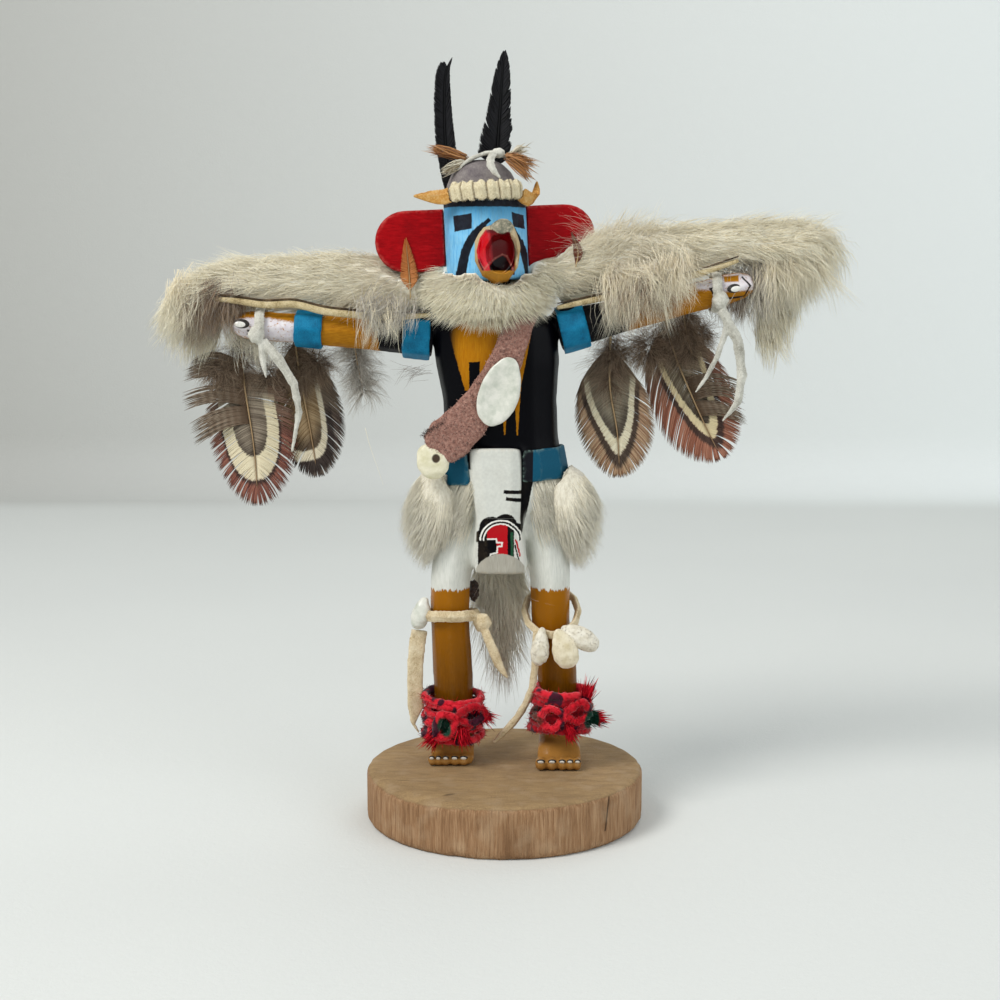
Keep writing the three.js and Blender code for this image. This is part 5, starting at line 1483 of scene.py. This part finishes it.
for side, setting in crownFeathers.items():
    rng = np.random.default_rng(setting["seed"])
    mesh, shaft, sidewise = vaneOf(setting["rows"], setting["outlines"], rng, 260, setting["start"],
                                   setting["finish"], 0.4,
                                   splits=setting["splits"], cup=0.01, group=(16, 60), bend=0.4)
    piece("blackFeather_" + side, [mesh, quillOf(shaft, 0.34)], [blackVane, blackVane], "black_feather",
          "crown_feather_" + side)

print("stage: leather, suede and shells")


def leatherMaterial(name, low, mid, high, size=0.6, bump=0.12, rough=0.6, specular=0.3):
    # worn leather: a mottled grain, paler along its edges, darker in broad blotches
    def look(bench):
        spot = bench.place()
        speckle, height = bench.use(nap, Size=size)
        broad = bench.cloud(spot, 4.0, 3.0)
        colour = bench.ramp(speckle * 0.55 + broad * 0.45, (0.34, low), (0.5, mid), (0.68, high))
        colour = bench.mix(bench.use(wornEdge, Amount=0.6)[0], colour, high)
        colour = bench.mix(bench.use(grime, Size=2.5, Amount=0.3)[0], colour, low)
        return {"Base Color": colour, "Height": height}

    return material(name, look, bump=bump, Roughness=rough, Specular_IOR_Level=specular)


blueBand = leatherMaterial("blueBand", (5, 78, 112), (8, 112, 150), (30, 136, 178), 0.4, 0.05, 0.5, 0.14)
paleThong = leatherMaterial("paleThong", (160, 136, 100), (212, 194, 158), (236, 224, 196), 0.45, 0.1, 0.75, 0.2)
greyThong = leatherMaterial("greyThong", (140, 136, 124), (196, 194, 182), (228, 226, 216), 0.4, 0.09, 0.75, 0.2)
hideEdge = leatherMaterial("hideEdge", (120, 98, 62), (198, 180, 138), (226, 212, 176), 0.5, 0.14, 0.8, 0.15)
darkEdge = leatherMaterial("darkEdge", (40, 32, 26), (74, 60, 46), (128, 106, 78), 0.4, 0.1, 0.9, 0.1)
huskFinish = leatherMaterial("huskFinish", (138, 84, 26), (196, 142, 66), (216, 186, 128), 0.7, 0.12, 0.6, 0.25)


def beltLook(bench):
    spot = bench.place()
    x, y, z = bench.split(spot)
    speckle, height = bench.use(nap, Size=0.4)
    colour = bench.mix(speckle, (4, 62, 86), (10, 90, 116))
    black = bench.patch(x, z, [(3.0, 112), (9.4, 112), (9.0, 90), (3.0, 90)]) * y.under(0.0)
    colour = bench.mix(black, colour, (12, 12, 20))
    colour = bench.mix(bench.use(wornEdge, Amount=0.7)[0], colour, (126, 150, 140))
    return {"Base Color": colour, "Height": height}


beltFinish = material("beltFinish", beltLook, bump=0.05, Roughness=0.55, Specular_IOR_Level=0.14)
piece("blueBelt", carved("belt", 0.42, 1, 0.05, 8), beltFinish, "blue_leather", "belt")
for name in ("wrist_band_right", "shoulder_band_right", "shoulder_band_left"):
    piece("blue_" + name, carved(name, 0.38, 1, 0.08, 32), blueBand, "blue_leather", name)


def suedeLook(bench):
    spot = bench.place()
    speckle, height = bench.use(nap, Size=1.0)
    coarse = bench.cloud(spot, 0.9, 4.0, 0.7)
    colour = bench.ramp(speckle * 0.6 + coarse * 0.4, (0.32, (88, 56, 48)), (0.43, (142, 102, 90)),
                        (0.58, (172, 132, 118)), (0.74, (206, 170, 156)))
    return {"Base Color": colour, "Height": height}


def fuzz(skin, count, length, thickness, rng, lift=1.0, weight=None, levels=3, stray=0.7):
    # short loose fibres over a skin
    roots, normals = scatter(skin, count, rng, weight)
    lines = combed(roots, normals, unit(rng.normal(size=(count, 3))) * 0.4, rng.uniform(*length, count), rng,
                   levels=levels, lift=lift, droop=0.0, stray=stray, clump=0.0, lock=9)
    return hairs(lines, thickness, rng.random(count), rng)


def fibreMaterial(name, low, high):
    def look(bench):
        return {"Base Color": bench.ramp(bench.mark("shade"), (0.1, low), (0.9, high))}

    return material(name, look, Roughness=0.8, Specular_IOR_Level=0.15, Sheen_Weight=0.2)


suede = material("pinkSuede", suedeLook, bump=0.5, Roughness=0.95, Specular_IOR_Level=0.1)
suedeFibre = fibreMaterial("suedeFibre", (108, 72, 62), (196, 156, 142))


def strip(rows, thick, levels, across, rng, lumps=0.0):
    # a closed strip: rows give the middle line and half width, its front crowned a little
    line = path([row[:3] for row in rows], levels)
    half = np.interp(np.linspace(0, 1, levels), np.linspace(0, 1, len(rows)), [row[3] for row in rows])
    sidewise = unit(np.cross(np.gradient(line, axis=0), (0, -1.0, 0)))
    work = bmesh.new()
    bmesh.ops.create_grid(work, x_segments=across, y_segments=levels - 1, size=1.0)
    bmesh.ops.solidify(work, geom=work.faces[:], thickness=0.1)
    bmesh.ops.recalc_face_normals(work, faces=work.faces)
    mesh = bpy.data.meshes.new("strip")
    work.to_mesh(mesh)
    work.free()
    p = coords(mesh)
    row = np.clip(np.rint((p[:, 1] + 1) / 2 * (levels - 1)).astype(int), 0, levels - 1)
    top = p[:, 2] > p[:, 2].mean()
    crown = np.sqrt(np.clip(1 - p[:, 0] ** 4, 0, 1))
    wave = 1 + 0.02 * np.sin(row * 0.37 + p[:, 0] * 2) * (abs(p[:, 0]) > 0.8)
    placed = line[row] + sidewise[row] * (p[:, 0] * half[row] * wave)[:, None]
    placed[:, 1] += np.where(top, -thick * crown, 0.0) - np.where(top, rng.random(len(p)) * lumps, 0)
    setCoords(mesh, at(placed))
    return mesh


strapRows = [(7.2, 1.6, 152, 4.6), (5.0, -2.8, 147.2, 4.5), (2.4, -5.0, 140, 4.8), (-0.6, -5.3, 132.5, 5.4),
             (-4.4, -5.4, 125.5, 5.9),
             (-8.8, -5.6, 119.4, 6.2), (-13.4, -5.8, 114, 6.9), (-18.2, -6.1, 109.6, 7.4), (-21.4, -6.4, 106.6, 6.2),
             (-22.8, -6.4, 105.2, 3.4)]
rng = np.random.default_rng(41)
strap = strip(strapRows, 1.3, 150, 34, rng, 0.14)
fringe = fall([(-26.4, -6.8, 110.6), (-23.4, -7.0, 112.8), (-19.4, -7.0, 115.2)], 260, (0.6, 1.4), (-0.7, -0.3, 0.7),
              rng, spread=(0.4, 0.4, 0.4),
              thickness=0.06, stray=0.6, lock=3, shade=(0, 1), levels=3)
piece("suedeStrap", [strap, fuzz(strap, 4400, (0.4, 1.0), 0.1, rng, lift=0.7), fringe],
      [suede, suedeFibre, fibreMaterial("darkFringe", (24, 16, 14), (96, 70, 60))],
      "pink_suede", "chest_strap")


def shellLook(base, shadow, pits):
    def look(bench):
        spot = bench.place()
        cloud = bench.cloud(spot, 3.2, 4.0, 0.6)
        colour = bench.ramp(cloud, (0.3, shadow), (0.6, base))
        spots = bench.level(bench.cloud(spot, 0.7, 5.0, 0.75), 0.56, 0.66) * pits
        colour = bench.mix(spots, colour, (120, 96, 66))
        return {"Base Color": colour, "Height": bench.cloud(spot, 1.4, 4.0) - spots,
                "Roughness": bench.level(cloud, 0.3, 0.7, 0.28, 0.5)}

    return look


pearl = material("pearlShell", shellLook((222, 221, 210), (190, 194, 180), 0.0), bump=0.08, Specular_IOR_Level=0.5,
                 Coat_Weight=0.25, Coat_Roughness=0.2)
bone = material("creamShell", shellLook((232, 222, 196), (206, 192, 156), 0.3), bump=0.12, Specular_IOR_Level=0.35)
chalk = material("chalkShell", shellLook((234, 228, 212), (206, 196, 172), 0.6), bump=0.2, Specular_IOR_Level=0.25)


def shellBody(centre, radii, tilt, dish=0.0, narrow=0.0, ridges=0.0, rough=0.0, seed=1, lean=0.0):
    # an egg-shaped shell: narrow makes one end pointed, dish hollows its front, ridges and rough mark its skin
    work = bmesh.new()
    bmesh.ops.create_uvsphere(work, u_segments=56, v_segments=36, radius=1.0)
    mesh = bpy.data.meshes.new("shell")
    work.to_mesh(mesh)
    work.free()
    p = coords(mesh)
    pinch = 1 - narrow * np.clip(p[:, 2] * 0.5 + 0.5, 0, 1) ** 1.4
    ring = np.hypot(p[:, 0], p[:, 2])
    front = np.clip(-p[:, 1], 0, 1)
    p[:, 1] += front * dish * (1 - ring**2)
    rng = np.random.default_rng(seed)
    waves = sum(np.sin(p @ rng.normal(size=3) * f + rng.uniform(0, 6)) / f for f in (3, 4, 6, 9, 13, 19))
    p *= (1 + rough * waves + ridges * np.sin(p[:, 2] * 15 + waves * 2))[:, None]
    p[:, :2] *= pinch[:, None]
    p *= radii
    turned = np.array(Matrix.Rotation(tilt, 3, "Y") @ Matrix.Rotation(lean, 3, "X"))
    setCoords(mesh, at(p @ turned.T + centre))
    return mesh


def middle(node):
    low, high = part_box(node)
    return (np.array(low + high) / 2 - (0, 0, slabTop)) * 1000


shellForward = -1.7  # how far the two shells stand in front of their solids
piece("ovalShell", shellBody(middle("shell_large") + (0, shellForward, 0), (6.9, 1.9, 11.4), 0.33, dish=1.15,
                             narrow=0.2, ridges=0.006, rough=0.03, seed=2),
      pearl, "shell", "shell_large")


def holedLook(bench):
    made = shellLook((230, 224, 198), (208, 202, 166), 0.1)(bench)
    x, y, z = bench.split(bench.place())
    # the drilled hole is only painted: dark brown as the shade inside it, with a dip in the bump
    hole = bench.spot(x, z, (-22.0, 103.6), (1.25, 1.35), 0.25)
    made["Base Color"] = bench.mix(hole, made["Base Color"], (62, 46, 28))
    made["Height"] = made["Height"] - hole * 3.0
    return made


holed = material("holedShell", holedLook, bump=0.16, Specular_IOR_Level=0.4)
piece("roundShell", shellBody(middle("shell_small") + (0, shellForward, 0), (5.6, 2.7, 5.9), -0.5, dish=0.2,
                              narrow=0.25, rough=0.05, seed=3), holed, "shell", "shell_small")
garterShells = {
    "garter_shell_left_1": ((3.6, 2.9, 6.5), 0.1, 0.5, 0.05, 0.02, chalk),
    "garter_shell_left_2": ((5.0, 2.6, 6.8), -0.35, 0.5, 0.04, 0.02, bone),
    "garter_shell_left_3": ((3.9, 3.0, 6.9), -1.05, 0.25, 0.11, 0.0, chalk),
    "garter_shell_right": ((3.5, 3.0, 5.6), 0.25, 0.35, 0.06, 0.02, pearl),
}
for number, (name, (radii, tilt, narrow, rough, ridges, finish)) in enumerate(garterShells.items()):
    low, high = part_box(name)
    piece("shell_" + name[13:], shellBody(middle(name), radii, tilt, narrow=narrow, rough=rough, ridges=ridges,
                                          seed=50 + number), finish, "shell", name)


def beadLook(bench):
    speckle, height = bench.use(nap, Size=0.9)
    return {"Base Color": bench.ramp(speckle, (0.35, (20, 14, 12)), (0.6, (66, 46, 36)), (0.8, (120, 96, 80))),
            "Height": height}


bead = carved("tail_bead", 0.2, 2)
lumps = figurePlaces(bead)
swell = np.sin(lumps[:, 2] * 2.6 + lumps[:, 0]) * np.sin(lumps[:, 0] * 3.1 + lumps[:, 2]) * 0.22
setCoords(bead, coords(bead) + pointNormals(bead) * swell[:, None] * millimetre)
piece("darkBead", bead, material("darkBead", beadLook, bump=0.3, Roughness=0.5), "dark_bead", "tail_bead")

print("stage: thongs and hide edges")
for name, voxel, finish in (("garter_thong_right", 0.36, paleThong), ("garter_thong_left", 0.36, paleThong),
                            ("garter_strap_right", 0.36, paleThong),
                            ("hand_thong_right", 0.33, greyThong), ("hand_thong_left", 0.33, greyThong),
                            ("crown_thong", 0.3, greyThong)):
    thong = carved(name, voxel, 2)
    p = figurePlaces(thong)
    rumple = np.sin(p[:, 2] * 0.9 + p[:, 0] * 0.7) * 0.06 + np.sin(p[:, 2] * 3.1 - p[:, 0] * 2.3 + p[:, 1]) * 0.02
    setCoords(thong, coords(thong) + pointNormals(thong) * rumple[:, None] * millimetre)
    piece("leather_" + name, thong, finish, "pale_thong", name)


def ribbon(rows, half, thick, levels=60, facing=(0, -1, 0), sides=8):
    line = path(rows, levels)[None]
    shape = np.sin(np.linspace(0.12, math.pi - 0.12, levels))[None] ** 0.35
    wide = shape * half * millimetre
    return stems(at(line), wide, np.full_like(wide, thick * millimetre), facing=np.asarray([facing], float),
                 sides=sides, pointed=False)


hideEdges = {
    "right": ([(-94, 1.5, 154.4), (-86.3, 0.4, 153.8), (-77, -0.2, 152.6), (-67.6, -0.6, 152.8), (-58, -0.8, 150.6),
               (-49.4, -0.8, 149.6), (-37, 0.2, 148.6), (-24, 2.0, 149.2)], 1.35),
    "left": ([(17, 0.4, 151.6), (30.6, -0.6, 154.6), (43.4, -0.6, 157.4), (52.7, -0.8, 160.2), (62.6, -0.6, 162.6),
              (75, 0.4, 166.6)], 1.3),
}
for side, (rows, half) in hideEdges.items():
    upper = [(x, y - 0.15, z + half * 1.02) for x, y, z in rows]
    piece("hideEdge_" + side, [ribbon(rows, half, 0.55), ribbon(upper, 0.38, 0.5)], [hideEdge, darkEdge], "cream_fur")

print("stage: crown, brow band and yarn")
rng = np.random.default_rng(42)
band = carved("brow_band", 0.29, 3, rounding=6)
p = figurePlaces(band)
around = np.arctan2(p[:, 1] - 8, p[:, 0] + 4.6)
# the crease weight sinks the grooves and also carries painted shade into the colour
shadedCrease = np.exp(-((np.sin(around * 13.5 + np.sin(p[:, 2] * 0.5) * 0.25) / 0.2) ** 2))
p += pointNormals(band) * (0.1 - 0.42 * shadedCrease)[:, None]
setCoords(band, at(p))
addMark(band, "shadedCrease", shadedCrease)


def bandLook(bench):
    speckle, height = bench.use(nap, Size=0.4)
    colour = bench.ramp(speckle, (0.3, (170, 150, 112)), (0.5, (218, 206, 172)), (0.72, (242, 234, 208)))
    # painted shade: the creases between the wraps are painted dark brown
    return {"Base Color": bench.mix(bench.mark("shadedCrease") * 0.8, colour, (92, 70, 46)), "Height": height}


napFinish = material("bandNap", bandLook, bump=0.14, Roughness=0.9, Specular_IOR_Level=0.1)
piece("browBand", [band, fuzz(band, 1500, (0.3, 0.8), 0.05, rng)], [napFinish,
                                                                    fibreMaterial("napFibre", (190, 172, 130),
                                                                            (246, 240, 220))], "bone_wrap", "brow_band")
for side in ("right", "left"):
    piece("huskLeaf_" + side, carved("brow_leaf_" + side, 0.24, 2), huskFinish, "husk", "brow_leaf_" + side)

huskFibre = fibreMaterial("huskFibre", (120, 68, 30), (206, 150, 92))
paleFibre = fibreMaterial("paleFibre", (168, 150, 118), (226, 220, 200))
tufts = {
    "right": [((-12.4, 4.0, 198.8), (-25.4, 1.0, 202.0), 1.3, 110, huskFibre),
              ((-12.8, 3.0, 197.4), (-20.6, 0.4, 194.4), 1.1, 70, paleFibre)],
    "left": [((0.8, 1.0, 199.4), (10.6, -1.0, 196.6), 1.8, 70, huskFibre),
             ((1.2, 1.0, 198.6), (9.6, -1.2, 191.0), 1.4, 50, huskFibre),
             ((2.0, 1.4, 200.0), (7.4, 0.4, 201.8), 1.6, 30, paleFibre)],
}
for side, bunches in tufts.items():
    meshes, finishes = [], []
    for root, end, spread, count, finish in bunches:
        root, end = np.array(root), np.array(end)
        t = np.linspace(0, 1, 5)[None, :, None]
        fan = rng.normal(size=(count, 1, 3)) * spread * (0.6, 0.4, 0.6)
        arch = np.sin(t * math.pi) * rng.normal(0.4, 0.5, (count, 1, 1)) * (0, 0, 1)
        reach = rng.uniform(0.6, 1.0, (count, 1, 1))
        lines = root + rng.normal(size=(count, 1, 3)) * 0.5 + ((end - root) * t + fan * t**1.5) * reach + arch
        wide = np.interp(np.linspace(0, 1, 5), (0, 0.4, 1), (0.2, 0.3, 0.08))[None] * millimetre * rng.uniform(0.6,
                1.4, (count, 1))
        meshes.append(stems(at(lines), wide, wide * 0.4, facing=unit(rng.normal(size=(count, 3))),
                            shade=rng.random(count)))
        finishes.append(finish)
    piece("crownTuft_" + side, meshes, finishes, "husk", "crown_tuft_" + side)


def flameLook(low, high):
    def look(bench):
        across, along = bench.split(bench.marks("vane"))[:2]
        colour = bench.mix(bench.level(along + bench.mark("shade") * 0.2, 0.2, 1.0), low, high)
        return {"Base Color": colour}

    return look


earFeathers = {
    "right": {"rows": [(-30.4, 154.4), (-30.9, 163.0), (-32.0, 174.3)], "half": 3.2, "widest": 0.43, "start": 0.2,
              "seed": 33,
              "low": (196, 132, 72), "high": (172, 92, 28)},
    "left": {"rows": [(22.9, 164.6), (23.6, 169.6), (21.4, 175.9)], "half": 1.7, "widest": 0.45, "start": 0.1,
             "seed": 34,
             "low": (110, 56, 30), "high": (96, 44, 26)},
}
for side, setting in earFeathers.items():
    rng = np.random.default_rng(setting["seed"])
    y = middle("ear_feather_" + side)[1]
    rows = [(x, y, z) for x, z in setting["rows"]]
    half, widest = setting["half"], setting["widest"]
    outline = [(half * 0.15, setting["start"]), (half * 0.8, widest - 0.1), (half, widest), (half * 0.8, 0.62),
               (half * 0.42, 0.84), (0.1, 1.0)]
    mesh, shaft, sidewise = vaneOf(rows, (outline, outline), rng, 80, setting["start"] - 0.04, 0.9, 0.2, splits=0.12,
                                   cup=0.02, bend=0.5)
    flame = material("flameVane_" + side, flameLook(setting["low"], setting["high"]), Roughness=0.5)
    piece("earFeather_" + side, [mesh, quillOf(shaft, 0.22)], [flame, quillFinish], "husk", "ear_feather_" + side)


def yarnLook(bench):
    spot = bench.place()
    x, y, z = bench.split(spot)
    shade = bench.mark("shade")
    red = bench.ramp(bench.cloud(spot, 1.2, 3.0) * 0.6 + shade * 0.4, (0.3, (140, 8, 24)), (0.5, (196, 14, 34)),
                     (0.75, (226, 40, 56)))
    patch = bench.level(bench.cloud(bench.join(x, y, z * 0.8), 5.2, 1.0), 0.56, 0.6)
    colour = bench.mix(patch, red, (64, 14, 34))
    green = bench.spot(x, z, (-19.8, 14.6), (2.0, 3.4), 0.4, 0.4).most(bench.spot(x, z, (28.8, 16.6), (2.6, 4.0),
            0.4))
    green = green.most(bench.spot(x, z, (10.6, 17.4), (2.0, 1.6), 0.4) * 0.7)
    return {"Base Color": bench.mix(green, colour, (18, 62, 46)), "Height": bench.cloud(spot, 0.4, 3.0)}


yarn = material("redYarn", yarnLook, bump=0.2, Roughness=0.9, Specular_IOR_Level=0.1, Sheen_Weight=0.3)
yarnFibre = material("yarnFibre", yarnLook, Roughness=0.9, Specular_IOR_Level=0.1)
ankles = {
    "right": {"centre": (-17.3, 5.2, 15.6), "seed": 61,
              "loops": [[(-15.5, -4.6, 18), (-10, -6.0, 21.5), (-6.5, -4.4, 18.5), (-11, -5.4, 15.5),
                         (-15.5, -4.8, 17)],
                                                                  [(-15.5, -4.8, 17), (-21, -6.2, 18.4),
                                                                   (-22.6, -6.0, 11.6), (-18.6, -6.2, 11.4),
                                                                   (-15.8, -5.0, 16.4)]],
              "tufts": [((-9.5, -2.0, 19.0), (-4.6, -4.0, 15.6), 160), ((-22, -4.0, 12.0), (-25.2, -5.5, 7.6), 120),
                        ((-14, -5.0, 13.0), (-13.0, -6.8, 9.0), 110)]},
    "left": {"centre": (18.6, 1.6, 18.4), "seed": 62,
             "loops": [[(20, -8.0, 20), (25.5, -9.0, 23.5), (27.6, -7.4, 19.4), (23.6, -8.6, 17), (20, -8.2, 19)],
                                                                [(20, -8.2, 19), (14.4, -9.4, 21.6),
                                                                 (11.8, -8.4, 17.6), (15.6, -9.2, 14.6),
                                                                 (20, -8.4, 18.4)]],
             "tufts": [((26.0, -3.0, 21.0), (28.2, -5.0, 28.4), 130), ((27.0, -2.5, 17.0), (32.6, -4.6, 16.4), 220),
                       ((20.5, -7.6, 15.5), (22.4, -9.0, 11.4), 120)]},
}
for side, setting in ankles.items():
    rng = np.random.default_rng(setting["seed"])
    cx, cy, cz = setting["centre"]
    turns, levels = 7, 56
    turn = np.linspace(0, 2 * math.pi, levels)[None, :] + rng.uniform(0, 6.28, (turns, 1))
    radius = rng.uniform(8.2, 9.4, (turns, 1)) + np.sin(turn * rng.integers(2, 5, (turns, 1)) + rng.uniform(0, 6,
            (turns, 1))) * 0.5
    height = np.linspace(-6.4, 6.4, turns)[:, None] + np.sin(turn + rng.uniform(0, 6, (turns, 1))) * rng.uniform(0.4,
            1.6, (turns, 1))
    core = np.stack([cx + radius * np.cos(turn), cy + radius * np.sin(turn) * 0.92, cz + height], axis=-1)
    core = np.concatenate([core] + [path(loop, levels)[None] for loop in setting["loops"]])
    outward = unit(core - (cx, cy, 0)) * (1, 1, 0)
    girth = 1.35 + rng.normal(0, 0.16, core.shape[:2])
    coil = stems(at(core), girth * millimetre, sides=10, pointed=False, shade=rng.random(len(core)))
    count = 4200
    pick = (rng.integers(0, len(core), count), rng.integers(0, levels, count))
    aside = unit(outward[pick] + rng.normal(size=(count, 3)) * 0.8)
    roots = core[pick] + aside * 1.0 + rng.normal(size=(count, 3)) * 0.25
    fluff = hairs(combed(roots, aside, aside * 0.2, rng.uniform(1.0, 2.6, count), rng, levels=3, stray=0.9, clump=0.0,
                         lock=9), 0.1, rng.random(count), rng)
    bunches = []
    for root, end, many in setting["tufts"]:
        t = np.linspace(0, 1, 5)[None, :, None]
        fan = rng.normal(size=(many, 1, 3)) * 1.3
        bunches.append(np.array(root) + rng.normal(size=(many, 1, 3)) * 0.7 + (np.subtract(end,
                root) * t + fan * t) * rng.uniform(0.7, 1.05, (many, 1, 1)))
    ends = hairs(np.concatenate(bunches), 0.22, rng.random(sum(len(b) for b in bunches)), rng, tip=0.5)
    piece("ankleYarn_" + side, [coil, fluff, ends], [yarn, yarnFibre, yarnFibre], "yarn", "ankle_yarn_" + side)
